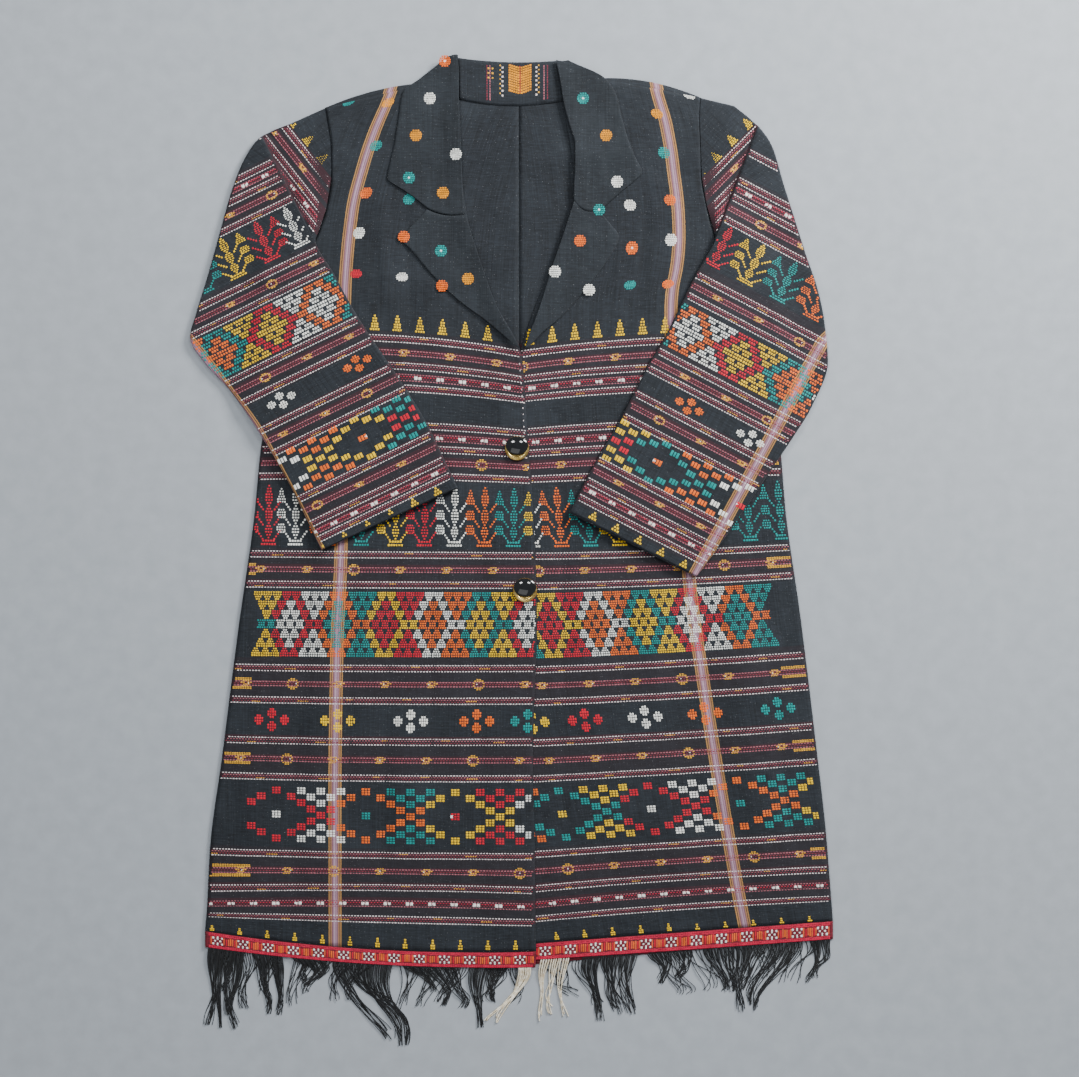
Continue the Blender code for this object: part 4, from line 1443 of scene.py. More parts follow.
def line_spans(bands: Iterable[Band], half: float) -> tuple[tuple[float, float], ...]:
    """Spans of cloth height that lie under the narrow lines of a list of bands.

    Args:
        bands: The bands.
        half: Half the height of the tallest kind of line.

    Returns:
        The lowest and highest height of each span.
    """
    narrow = {CHAIN: 1.7 / 3.6, OVALS: 2.3 / 3.6, DOTS: 1.0}
    return tuple((band.mark - half * narrow[band.kind], band.mark + half * narrow[band.kind])
                 for band in bands if band.kind in narrow)


@dataclass
class BodyPanel:
    """A front or half of the back: a thin shell on its solid's form, with its woven bands.

    Attributes:
        node: The solid that it stands for.
        rows: Its surface in plan.
        under: Height of its underside.
        creases: Creases finer than the solid's folds.
        bands: Its bands of pattern.
        stripe: Place of its warp stripe across the cloth.
        face: 1 where the pattern shows on top, -1 where it shows underneath.
        flat: Width and length that it was cut to, in metres; not used.
        area: Area that it was cut to, in square metres; not used.
        rests: The solids that it lies on; not used.
        step: Distance between its points.
    """

    node: str
    rows: Rows
    under: Height
    creases: list[Fold]
    bands: list[Band]
    stripe: float
    face: int
    flat: tuple[float, float]
    area: float
    rests: tuple[str, ...] = ()
    step: float = 4.6

    def top(self, x: Array, y: Array) -> Array:
        """Height of the cloth's upper side."""
        return self.under(x, y) + WALL + relief(self.creases, x, y)

    def bottom(self, x: Array, y: Array) -> Array:
        """Height of the cloth's lower side."""
        return self.top(x, y) - SHELL

    def build(self) -> bpy.types.Object:
        """Builds the panel, its floats and its material.

        Returns:
            The mesh that stands for the solid.
        """
        marks = self.rows.marks
        v = np.linspace(marks[0], marks[-1], int((marks[-1] - marks[0]) / self.step))
        share = np.linspace(0, 1, int(PANEL_WIDTH / self.step))
        share_grid, v_grid = np.meshgrid(share, v)
        x, y = self.rows.point(share_grid, v_grid)
        z = self.top(x, y)
        uv = np.stack([x - self.rows.leaning(v_grid), v_grid], -1)
        cloth = WovenCloth("handwoven_cotton_" + self.node, line_spans(self.bands, BODY_LINE_HALF),
                           BODY_GROUPS, self.stripe)
        made = shell(self.node + "_cloth", np.stack([x, y, z], -1), uv, SHELL, cloth.material())
        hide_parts(self.node)
        floats = Floats(self.rows.place, self.top if self.face > 0 else self.bottom, self.face)
        weaver = Weaver(floats, (-350, 350))
        weaver.work(self.bands)
        self.decorate(weaver)
        pattern = floats.lay(self.node + "_floats")
        LOG.info("%s: %d faces, %d float faces", self.node, len(made.data.polygons),
                 len(pattern.data.polygons))
        return made

    def decorate(self, weaver: Weaver) -> None:
        """Adds scattered dots of the yoke, given in plan millimetres.

        Args:
            weaver: What works its floats.
        """
        for x, y, yarn in YOKE_DOTS.get(self.node, ()):
            weaver.rosette(yarn, *self.rows.cloth_at(x, y))
        if self.node == "front_right":
            # White hand stitches hold the front edge between its top and the upper button
            for v in np.arange(512.0, 612.0, 6.4):
                mark = np.array(v)
                edge = float(self.rows.point(np.array(0.0), mark)[0] - self.rows.leaning(mark))
                weaver.floats.put(Yarn.ASH, edge - 3.4, v, 0.8, 1.5)


# Scattered dots of the black yoke, collar and lapels: x, y and yarn
YOKE_DOTS = {
    "front_right": ((-132, 864, Y), (-144, 821, T), (-154, 774, O), (-161, 734, W), (-164, 693, R),
                    (-118, 690, W), (-111, 768, T), (-171, 867, T)),
    "front_left": ((137, 853, Y), (144, 814, T), (150, 767, O), (151, 727, W), (148, 683, O),
                   (110, 762, W), (112, 719, O), (110, 682, T), (185, 861, R), (169, 873, W)),
    "collar_leaf_right": ((-75, 905, O), (-90, 868, W), (-104, 831, Y), (-64, 812, W), (-111, 789, T),
                          (-77, 774, Y)),
    "lapel_right": ((-116, 730, O), (-79, 716, T), (-52, 688, Y), (-78, 681, O)),
    "collar_leaf_left": ((63, 868, T), (86, 831, Y), (97, 785, W), (79, 757, T)),
    "lapel_left": ((60, 726, O), (35, 695, W), (69, 677, W)),
}

# Cloth heights, and how far the warp leans there along x on each front
LEAN_RIGHT = ((16, 167, 317, 412, 672, 752, 807, 887), (-6, -6, -4, 0, 4, 11, 24, 50))
LEAN_LEFT = ((16, 137, 267, 377, 647, 727, 807, 887), (55, 35, 15, 0, -19, -11, -18, -34))


@dataclass
class TurnedPiece:
    """A leaf of the collar or a lapel facing, turned up from its roll line.

    Attributes:
        node: The solid that it stands for.
        table: Its rows, whose inner ends make the roll line.
        under: Height of the underside of the front below it.
        creases: Its soft creases.
        flat: Width and length that it was cut to, in metres; not used.
        rests: The solids that it lies on; not used.
        straighten: How far its free end is pulled up to run straight to its point.
        lift: How high the roll line stands.
        reach: How far the roll is felt.
    """

    node: str
    table: list[Row]
    under: Height
    creases: list[Fold]
    flat: tuple[float, float]
    rests: tuple[str, ...]
    straighten: float = 0.0
    lift: float = 2.2
    reach: float = 14.0

    def roll_x(self, y: Array) -> Array:
        """The x of the roll line at a height on the jacket."""
        ordered = sorted(self.table, key=lambda row: row.inner_y)
        return np.interp(y, [row.inner_y for row in ordered], [row.inner_x for row in ordered])

    def top(self, x: Array, y: Array) -> Array:
        """Height of the upper side.

        Args:
            x: The points' x.
            y: The points' y.

        Returns:
            The height.
        """
        away = np.abs(x - self.roll_x(y))
        turned = self.lift * np.exp(-(away / self.reach) ** 2)
        return self.under(x, y) + WALL + LAYER_GAP + turned + COLLAR_WALL + relief(self.creases, x, y)

    def build(self) -> bpy.types.Object:
        """Builds the piece with a rolled inner edge and pressed outer edges.

        Returns:
            The mesh that stands for the solid.
        """
        rows = Rows(self.table, range(len(self.table)))
        v = np.linspace(0, len(self.table) - 1, 64)
        share = np.concatenate([[0.0, 0.006, 0.015, 0.03], np.linspace(0.05, 0.95, 30),
                                [0.97, 0.985, 0.994, 1.0]])
        share_grid, v_grid = np.meshgrid(share, v)
        x, y = rows.point(share_grid, v_grid)
        z = self.top(x, y)
        # The free end of a leaf runs straight to its point
        low = 1 - ease(v_grid - (len(self.table) - 2))
        y = y + self.straighten * (1 - low) * np.sin(np.pi * np.clip((share_grid - 0.5) * 2, 0, 1))
        # The pressed edges thin out over the last two millimetres
        z = z - 0.5 * (1 - ease((1 - share_grid) / 0.03))
        cloth = WovenCloth("plain_black_cotton_" + self.node, dark="#0f1317", light="#252b31")
        made = shell(self.node + "_cloth", np.stack([x, y, z], -1), np.stack([x, y], -1),
                     COLLAR_WALL - 0.1, cloth.material(), 0.18)
        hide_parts(self.node)

        def place(u: Array, v: Array) -> tuple[Array, Array, Array]:
            """Its dots are given in plan, so a place stays as it is."""
            return u, v, np.ones(u.shape, bool)

        floats = Floats(place, self.top)
        weaver = Weaver(floats, (-200, 200))
        for x_spot, y_spot, yarn in YOKE_DOTS.get(self.node, ()):
            weaver.rosette(yarn, x_spot, y_spot)
        pattern = floats.lay(self.node + "_dots")
        return made


@dataclass
class CollarBand:
    """The collar's stand inside the neck, and its fall that lies under the back."""

    def build(self) -> None:
        """Builds the stand with its gold chevrons, and the fall."""
        self.build_stand()
        self.build_fall()

    def build_stand(self) -> None:
        """Builds the stand, its chevrons, dots and fine lines."""
        rows = Rows(STAND, [868, 888, 909])
        share_grid, v_grid = np.meshgrid(np.linspace(0, 1, 34), np.linspace(868, 909, 16))
        x, y = rows.point(share_grid, v_grid)

        def height(x: Array, y: Array) -> Array:
            """Height of the stand, which rolls over at its top and dips behind the neck."""
            return 4.4 + 0.5 * np.exp(-((y - 902) / 5) ** 2) - 1.0 * (1 - ease((y - 861) / 12)) + 0.0 * x

        made = shell("collar_stand_cloth", np.stack([x, y, height(x, y)], -1), np.stack([x, v_grid], -1),
                     SHELL, WovenCloth("plain_black_cotton_stand").material())
        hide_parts("collar_stand")
        floats = Floats(rows.place, height)
        for v in np.arange(879.5, 904.5, 2.4):
            for step in range(5):
                for side in (-1, 1):
                    floats.put(Yarn.AMBER, side * (1.5 + 2.2 * step), v + 0.62 * step, 2.0, 1.75)
            floats.put(Yarn.RED, 0.0, v + 1.0, 0.7, 1.5)
        for v in np.arange(877.0, 906.0, 4.4):
            floats.put(Yarn.ASH, np.array([-17.5, 16.4]), v, 1.8, 1.7)
            floats.put(Yarn.GOLD, np.array([-19.8, 18.7]), v + 2.0, 1.4, 1.3)
        for u, yarn in ((-33.0, Yarn.MAROON), (-30.0, Yarn.ROSE), (24.0, Yarn.ROSE), (27.4, Yarn.MAROON)):
            floats.put(yarn, u, np.arange(873.0, 906, 2.4), 1.1, 1.9)
        for v in (893.0, 897.5, 902.0):
            floats.put(Yarn.GOLD, np.array([-31.5, -27.5]), v, 1.9, 1.6)
        pattern = floats.lay("collar_stand_floats")

    def build_fall(self) -> None:
        """Builds the fall, which shows only from below."""
        rows = Rows(FALL, [0, 1, 2])
        share_grid, v_grid = np.meshgrid(np.linspace(0, 1, 44), np.linspace(0, 2, 14))
        x, y = rows.point(share_grid, v_grid)
        z = np.full(x.shape, 1.2)
        made = shell("collar_fall_cloth", np.stack([x, y, z], -1), np.stack([x, y], -1), 1.0,
                     WovenCloth("plain_black_cotton_fall").material())
        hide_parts("collar_fall")


@dataclass
class Sleeve:
    """A flattened sleeve, bent at a crease where its lower part folds over its cap.

    Attributes:
        node: The solid that it stands for.
        rings: Rings of the tube, the second of which is the crease.
        rows: The front's rows, whose edge it starts from.
        under: Height of the front's underside.
        side: -1 for the wearer's right and 1 for the left.
        middle: The cuff's middle.
        turn: Direction of its weave rows, in degrees.
        stripe: Place of its warp stripe, from the cuff's middle along the rows.
        bands: Its bands.
        folds: The solid's folds.
        creases: Finer creases.
        flat: Width all round the tube and length that it was cut to, in metres; not used.
        cap: A point and a direction of the cap's weave rows.
        lean: Heights above the cuff, and how far its warp leans there.
        tall: Height from its underside to its upper side.
        clear: Air between it and the front.
        low: Height of its underside beyond the body's side.
    """

    node: str
    rings: list[tuple[float, float, float, float]]
    rows: list[Row]
    under: Height
    side: int
    middle: tuple[float, float]
    turn: float
    stripe: float
    bands: list[Band]
    folds: list[Fold]
    creases: list[Fold]
    flat: tuple[float, float]
    cap: tuple[tuple[float, float], tuple[float, float]]
    lean: tuple[Sequence[float], Sequence[float]]
    tall: float = 5.2
    clear: float = 0.9
    low: float = 0.4

    def outside(self, x: Array, y: Array) -> Array:
        """How far points lie outside the part of the body that the sleeve crosses.

        Args:
            x: The points' x.
            y: The points' y.

        Returns:
            The distance.
        """
        edge = sorted(((row.outer_x, row.outer_y) for row in self.rows
                       if row.outer_y <= ARMHOLE_LOW), key=lambda point: point[1])
        edge_x = np.interp(y, [p[1] for p in edge], [p[0] for p in edge])
        on_body = (y <= ARMHOLE_LOW) & (y >= edge[0][1]) & (x * self.side <= edge_x * self.side)
        away = self.distance(x, y, [(0.0, ARMHOLE_LOW)] + edge[::-1])
        return np.where(on_body, 0.0, away)

    def distance(self, x: Array, y: Array, line: Sequence[tuple[float, float]]) -> Array:
        """Distance in plan from points to a line of points.

        Args:
            x: The points' x.
            y: The points' y.
            line: The line's points.

        Returns:
            The distance.
        """
        nearest = np.full(np.broadcast(x, y).shape, 1e9)
        for (ax, ay), (bx, by) in zip(line, line[1:]):
            dx, dy = bx - ax, by - ay
            share = np.clip(((x - ax) * dx + (y - ay) * dy) / (dx * dx + dy * dy), 0, 1)
            nearest = np.minimum(nearest, np.hypot(x - ax - share * dx, y - ay - share * dy))
        return nearest

    @property
    def armhole(self) -> list[tuple[float, float]]:
        """The sleeve's first line, along the armhole edge of its front."""
        return [(row.outer_x + self.side * 0.8, row.outer_y) for row in self.rows
                if row.outer_y >= ARMHOLE_LOW]

    @property
    def crease(self) -> list[tuple[float, float]]:
        """The line where the sleeve is bent."""
        ring = self.rings[1]
        return [(ring[0], ring[1]), (ring[2], ring[3])]

    def past_crease(self, x: Array, y: Array) -> Array:
        """Distance past the bend's crease, below zero on the cap.

        Args:
            x: The points' x.
            y: The points' y.

        Returns:
            The distance.
        """
        (ax, ay), (bx, by) = self.crease
        length = math.hypot(bx - ax, by - ay)
        past = self.side * ((x - ax) * (by - ay) - (y - ay) * (bx - ax)) / length
        return np.where(y < ay, np.maximum(past, ay - y), past)

    def pinch(self, x: Array, y: Array) -> Array:
        """Fullness of the tube: 0 at the armhole seam and 1 from the crease on.

        Args:
            x: The points' x.
            y: The points' y.

        Returns:
            The share.
        """
        seam = self.distance(x, y, self.armhole)
        bend = np.maximum(-self.past_crease(x, y), 0.0)
        return np.where(bend > 0, ease(1.4 * seam / (seam + bend + 0.01)), 1.0)

    def floor(self, x: Array, y: Array) -> Array:
        """Height of the sleeve's underside.

        Args:
            x: The points' x.
            y: The points' y.

        Returns:
            The height.
        """
        on_body = self.under(x, y) + WALL + self.clear
        away = ease((self.outside(x, y) - 17.0) / 30.0)
        full = on_body + (self.low - on_body) * away
        fullness = self.pinch(x, y)
        return full * fullness + (1 - fullness) * 1.9

    def height(self, x: Array, y: Array) -> Array:
        """Height of the sleeve's upper side away from its rounded edges.

        Args:
            x: The points' x.
            y: The points' y.

        Returns:
            The height.
        """
        past = self.past_crease(x, y)
        fullness = self.pinch(x, y)
        step = np.where(past > 0, 0.8 * np.exp(-(past / 10) ** 2), -2.1 * np.exp(-(past / 7) ** 2))
        folds = relief(self.folds, x, y) + relief(self.creases, x, y)
        return self.floor(x, y) + 1.4 + (self.tall - 1.4) * fullness + (folds + step) * fullness

    def fine_rings(self) -> tuple[Array, Array]:
        """Lines across the sleeve, close enough for its folds.

        Returns:
            Inner and outer points of each ring after the armhole line.
        """
        table = np.array(self.rings)
        place = [0.0]
        for first, last in zip(table, table[1:]):
            place.append(place[-1] + max(np.hypot(*(last[2:] - first[2:])), 3.0))
        inner_steps = [0.0, place[1] * 0.5, place[1] - 1.2, place[1], place[1] + 1.2]
        steps = np.concatenate([inner_steps, np.arange(place[1] + 5.0, place[-1], 4.8), [place[-1]]])
        points = np.stack([flowing(steps, place, table[:, k]) for k in range(4)], -1)
        return points[:, :2], points[:, 2:]

    def tube(self, inner: Array, outer: Array) -> Array:
        """Makes the tube's rings, with the cuff turned in at their end.

        Args:
            inner: Inner points of the rings after the armhole line.
            outer: Their outer points.

        Returns:
            The points, rings by places round the tube by three.
        """
        columns, quarter = 34, 5
        shares = np.linspace(0, 1, columns + 1)
        line = np.array(self.armhole)
        lengths = np.concatenate([[0], np.cumsum(np.hypot(*np.diff(line, axis=0).T))])

        def ring(place: Callable[[Array], tuple[Array, Array]], width: float) -> Array:
            """Makes one ring of the tube, from its line in plan and that line's length.

            Args:
                place: Gives the places at shares of its line.
                width: The line's length.

            Returns:
                The ring's points.
            """
            radius = self.tall / 2
            inset = min(radius / width, 0.45)
            across_shares = inset + (1 - 2 * inset) * shares
            x, y = place(across_shares)
            upper = np.stack([x, y, self.height(x, y)], -1)
            lower = np.stack([x, y, self.floor(x, y)], -1)[::-1]
            turns = []
            for share_at, end in ((1 - inset, 1.0), (inset, 0.0)):
                cx, cy = (float(c) for c in place(np.array(share_at)))
                ex, ey = (float(c) for c in place(np.array(end)))
                at_x, at_y = np.array(cx), np.array(cy)
                roof, ground = float(self.height(at_x, at_y)), float(self.floor(at_x, at_y))
                angle = np.pi * np.arange(1, 2 * quarter) / (2 * quarter)
                if end == 0.0:
                    angle = angle[::-1]
                turns.append(np.stack([cx + (ex - cx) * np.sin(angle), cy + (ey - cy) * np.sin(angle),
                                       (roof + ground) / 2 + (roof - ground) / 2 * np.cos(angle)], -1))
            return np.concatenate([upper, turns[0], lower, turns[1]])

        def along_armhole(share: Array) -> tuple[Array, Array]:
            """Places along the armhole line."""
            return (np.interp(share * lengths[-1], lengths, line[:, 0]),
                    np.interp(share * lengths[-1], lengths, line[:, 1]))

        loops = [ring(along_armhole, float(lengths[-1]))]
        for start, end in zip(inner, outer):
            def straight(share: Array, a: Array = start, b: Array = end) -> tuple[Array, Array]:
                """Places along a straight line."""
                return a[0] + (b[0] - a[0]) * share, a[1] + (b[1] - a[1]) * share
            loops.append(ring(straight, float(np.hypot(*(end - start)))))
        # The cuff is turned in: three rings run back inside the tube, each a little smaller
        end_ring = loops[-1]
        centre = end_ring.mean(axis=0)
        back = loops[-6].mean(axis=0) - centre
        back /= np.linalg.norm(back)
        for depth, drop in ((1.0, 0.4), (8.0, 0.7), (22.0, 0.7)):
            inward = centre - end_ring
            inward[:, :2] *= 0.008
            inward[:, 2] *= drop / (self.tall / 2)
            loops.append(end_ring + inward + back * depth)
        return np.array(loops)

    def cloth(self) -> WovenCloth:
        """Describes the sleeve's cloth, with the grounds under the lines of both its parts.

        Returns:
            The cloth.
        """
        spans = tuple((low + SLEEVE_START, high + SLEEVE_START)
                      for low, high in line_spans(self.bands, SLEEVE_LINE_HALF))
        cap_spans = tuple((band.mark + CAP_START[1] - SLEEVE_LINE_HALF,
                           band.mark + CAP_START[1] + SLEEVE_LINE_HALF) for band in CAP_BANDS
                          if band.kind is not BandKind.TRIANGLES)
        return WovenCloth("handwoven_cotton_" + self.node, spans + cap_spans, SLEEVE_GROUPS, self.stripe)

    def build(self) -> bpy.types.Object:
        """Builds the tube, its floats and its cuff.

        Returns:
            The mesh that stands for the solid.
        """
        inner, outer = self.fine_rings()
        points = self.tube(inner, outer)
        size = points.shape[1]
        number = np.arange(points.shape[0] * size).reshape(points.shape[0], size)
        faces, crossing = [], []
        for i in range(points.shape[0] - 1):
            for k in range(size):
                after = (k + 1) % size
                faces.append([number[i, k], number[i, after], number[i + 1, after], number[i + 1, k]])
                # The first four strips lie on the cap, whose weave runs its own way
                crossing.append(i < 4)
        flat_points = points.reshape(-1, 3)
        highest = max(range(0, len(faces), 7), key=lambda f: flat_points[faces[f]][:, 2].mean())
        a, b, c = (flat_points[faces[highest][i]] for i in range(3))
        if np.cross(b - a, c - b)[2] < 0:
            faces = [face[::-1] for face in faces]
        made = make_mesh(self.node + "_cloth", flat_points, faces, [self.cloth().material()])
        across_cloth, up_cloth = self.to_cloth(flat_points[:, 0], flat_points[:, 1])
        main_uv = np.stack([across_cloth - flowing(up_cloth, *self.lean), up_cloth + SLEEVE_START], -1)
        cap_uv = np.stack(self.to_cap(flat_points[:, 0], flat_points[:, 1]), -1) + np.array(CAP_START)
        paint_uv(made, main_uv, cap_uv, np.repeat(np.array(crossing), 4))
        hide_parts(self.node)
        pieces = self.weave(inner, outer)
        LOG.info("%s: %d faces, %d float faces", self.node, len(made.data.polygons),
                 sum(len(piece.data.polygons) for piece in pieces))
        return made

    def to_cloth(self, x: Array, y: Array) -> tuple[Array, Array]:
        """Cloth place on the lower part of the sleeve, from the cuff's middle.

        Args:
            x: The points' x.
            y: The points' y.

        Returns:
            The places across and up the cloth.
        """
        cos, sin = math.cos(math.radians(self.turn)), math.sin(math.radians(self.turn))
        dx, dy = x - self.middle[0], y - self.middle[1]
        return dx * cos + dy * sin, -dx * sin + dy * cos

    def to_cap(self, x: Array, y: Array) -> tuple[Array, Array]:
        """Cloth place on the cap: along its rows from the bend's inner end, and up from it."""
        (ax, ay), (dx, dy) = self.cap
        return (x - ax) * dx + (y - ay) * dy, (-(x - ax) * dy + (y - ay) * dx) * self.side

    def weave(self, inner: Array, outer: Array) -> list[bpy.types.Object]:
        """Works the bands into the upper and lower side.

        Args:
            inner: Inner points of the sleeve's rings.
            outer: Outer points of the sleeve's rings.

        Returns:
            The float meshes.
        """
        outline = [tuple(p) for p in inner] + [tuple(p) for p in outer[::-1]] + [tuple(inner[0])]
        armhole = self.armhole
        cap_line = armhole + [tuple(p) for p in (outer[0], outer[1], outer[2], outer[3])]
        cap_line += [tuple(inner[3]), armhole[0]]
        cos, sin = math.cos(math.radians(self.turn)), math.sin(math.radians(self.turn))
        (ax, ay), (along_x, along_y) = self.cap

        def inside(x: Array, y: Array, line: Sequence[tuple[float, float]]) -> Array:
            """Whether points lie inside a closed line in plan.

            Args:
                x: The points' x.
                y: The points' y.
                line: The line's points.

            Returns:
                A mask of the points inside.
            """
            odd = np.zeros(np.broadcast(x, y).shape, bool)
            for (px, py), (qx, qy) in zip(line, line[1:]):
                if py != qy:
                    crosses = (py > y) != (qy > y)
                    odd ^= crosses & (x < (qx - px) * (y - py) / (qy - py) + px)
            return odd

        def on_main(u: Array, v: Array) -> tuple[Array, Array, Array]:
            """Plan places on the lower part, and whether they are clear of its edges.

            Args:
                u: Place across the cloth.
                v: Place up the cloth.

            Returns:
                x, y and a mask.
            """
            x = self.middle[0] + self.side * u * cos - v * sin
            y = self.middle[1] + self.side * u * sin + v * cos
            fits = inside(x, y, outline) & (self.past_crease(x, y) > 0.8)
            return x, y, fits & (self.distance(x, y, outline) > 0.9)

        def on_cap(u: Array, v: Array) -> tuple[Array, Array, Array]:
            """Plan places on the cap, and whether they are clear of its edges.

            Args:
                u: Place across the cloth.
                v: Place up the cloth.

            Returns:
                x, y and a mask.
            """
            x = ax + u * along_x - self.side * v * along_y
            y = ay + u * along_y + self.side * v * along_x
            fits = inside(x, y, cap_line) & (self.past_crease(x, y) < -0.8)
            return x, y, fits & (self.distance(x, y, cap_line) > 1.2)

        def rounded(x: Array, y: Array, side: int) -> Array:
            """Height of the upper or lower side with its rounded edges.

            Args:
                x: The points' x.
                y: The points' y.
                side: 1 for the upper side and -1 for the lower.

            Returns:
                The height.
            """
            radius = self.tall / 2
            near = np.minimum(self.distance(x, y, outline), radius)
            drop = radius - np.sqrt(np.maximum(radius ** 2 - (radius - near) ** 2, 0))
            if side > 0:
                return self.height(x, y) - drop * np.where(self.past_crease(x, y) > 0, 1.0, 0.0)
            return self.floor(x, y) + drop

        pieces = []
        for side, name in ((1, "upper"), (-1, "lower")):
            def surface(x: Array, y: Array, facing: int = side) -> Array:
                """Height of the side that the floats lie on."""
                return rounded(x, y, facing)
            main = Floats(on_main, surface, side)
            Weaver(main, (-130, 130), SLEEVE_RISE, True).work(self.bands)
            cap = Floats(on_cap, surface, side)
            Weaver(cap, (-20, 150), SLEEVE_RISE, True).work(CAP_BANDS)
            for floats, part in ((main, "_lower_part_"), (cap, "_cap_")):
                laid = floats.lay(self.node + part + name)
                if laid:
                    pieces.append(laid)
        return pieces


@dataclass
class HemTape:
    """Woven red tape along a hem, with scalloped edges and a repeat of crosses and bars.

    Attributes:
        node: The solid that it stands for.
        bottom: Its lower edge.
        top: Its upper edge.
        under: Height of the underside of the panel above it.
        face: 1 where its pattern shows on top, -1 where it shows underneath.
        creases: Its soft creases.
        rests: The solids that it lies on; not used.
    """

    node: str
    bottom: Row
    top: Row
    under: Height
    face: int
    creases: list[Fold]
    rests: tuple[str, ...] = ()

    def build(self) -> bpy.types.Object:
        """Builds the tape and its pattern.

        Returns:
            The mesh that stands for the solid.
        """
        rows = Rows([self.bottom, self.top], [0.0, TAPE_HEIGHT - 0.5])
        share_grid, v_grid = np.meshgrid(np.linspace(0, 1, 150), np.linspace(0, TAPE_HEIGHT - 0.5, 7))
        x, y = rows.point(share_grid, v_grid)
        edge = np.where(v_grid == v_grid.min(), -1.0, np.where(v_grid == v_grid.max(), 0.15, 0.0))
        y = y + edge * 0.55 * (0.5 + 0.5 * np.sin(2 * np.pi * x / 6.2))

        def top(x: Array, y: Array) -> Array:
            """Height of the upper side."""
            return self.under(x, y) + WALL + relief(self.creases, x, y)

        def bottom(x: Array, y: Array) -> Array:
            """Height of the lower side."""
            return top(x, y) - SHELL

        ribbon = WovenCloth("woven_carmine_tape_" + self.node, dark="#3c0a14", light="#861a2c")
        made = shell(self.node + "_cloth", np.stack([x, y, top(x, y)], -1), np.stack([x, v_grid], -1),
                     SHELL, ribbon.material())
        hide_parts(self.node)
        floats = Floats(rows.place, top if self.face > 0 else bottom, self.face)
        low, high = sorted((self.bottom.inner_x, self.bottom.outer_x))
        for u in np.arange(math.ceil(low / TAPE_REPEAT) * TAPE_REPEAT, high, TAPE_REPEAT):
            for v in (4.9, 10.9):
                floats.put(Yarn.WHITE, u, v, 1.5, 3.0)
                floats.put(Yarn.WHITE, np.array([u - 4.4, u + 4.4]), v, 1.9, 1.9)
                floats.put(Yarn.MAROON, np.array([u - 2.3, u + 2.3]), v, 1.5, 2.6)
            floats.put(Yarn.WHITE, np.array([u - 2.6, u + 2.6]), 7.9, 1.9, 1.6)
            floats.put(Yarn.RUST, np.array([u - 6.4, u + 6.4]), 7.9, 1.3, 7.4)
            for offset, yarn in ((8.9, Yarn.RED), (11.0, Yarn.RUST), (13.0, Yarn.ORANGE), (15.0, Yarn.RUST),
                                 (17.0, Yarn.RED)):
                floats.put(yarn, u + offset, 7.9 + 0.5 * math.sin(offset * u), 1.25, 7.2)
        edge_u = np.arange(low, high, 2.3)
        for v, wave in ((0.9, 0.0), (2.3, 0.25), (TAPE_HEIGHT - 3.3, 0.25), (TAPE_HEIGHT - 1.7, 0.0)):
            floats.put(Yarn.CARMINE, edge_u, v + wave * np.sin(edge_u), 2.2, 1.4)
        pattern = floats.lay(self.node + "_floats")
        return made


@dataclass(frozen=True)
class Lock:
    """A lock of fringe.

    Attributes:
        first_x: Its first root's x.
        last_x: Its last root's x.
        strands: How many of the solid's strands it stands for.
        tip_first_x: Its first tip's x.
        tip_last_x: Its last tip's x.
        tip_y: Its longest tip's y.
        curl: How far it swings aside halfway down.
    """

    first_x: float
    last_x: float
    strands: int
    tip_first_x: float
    tip_last_x: float
    tip_y: float
    curl: float


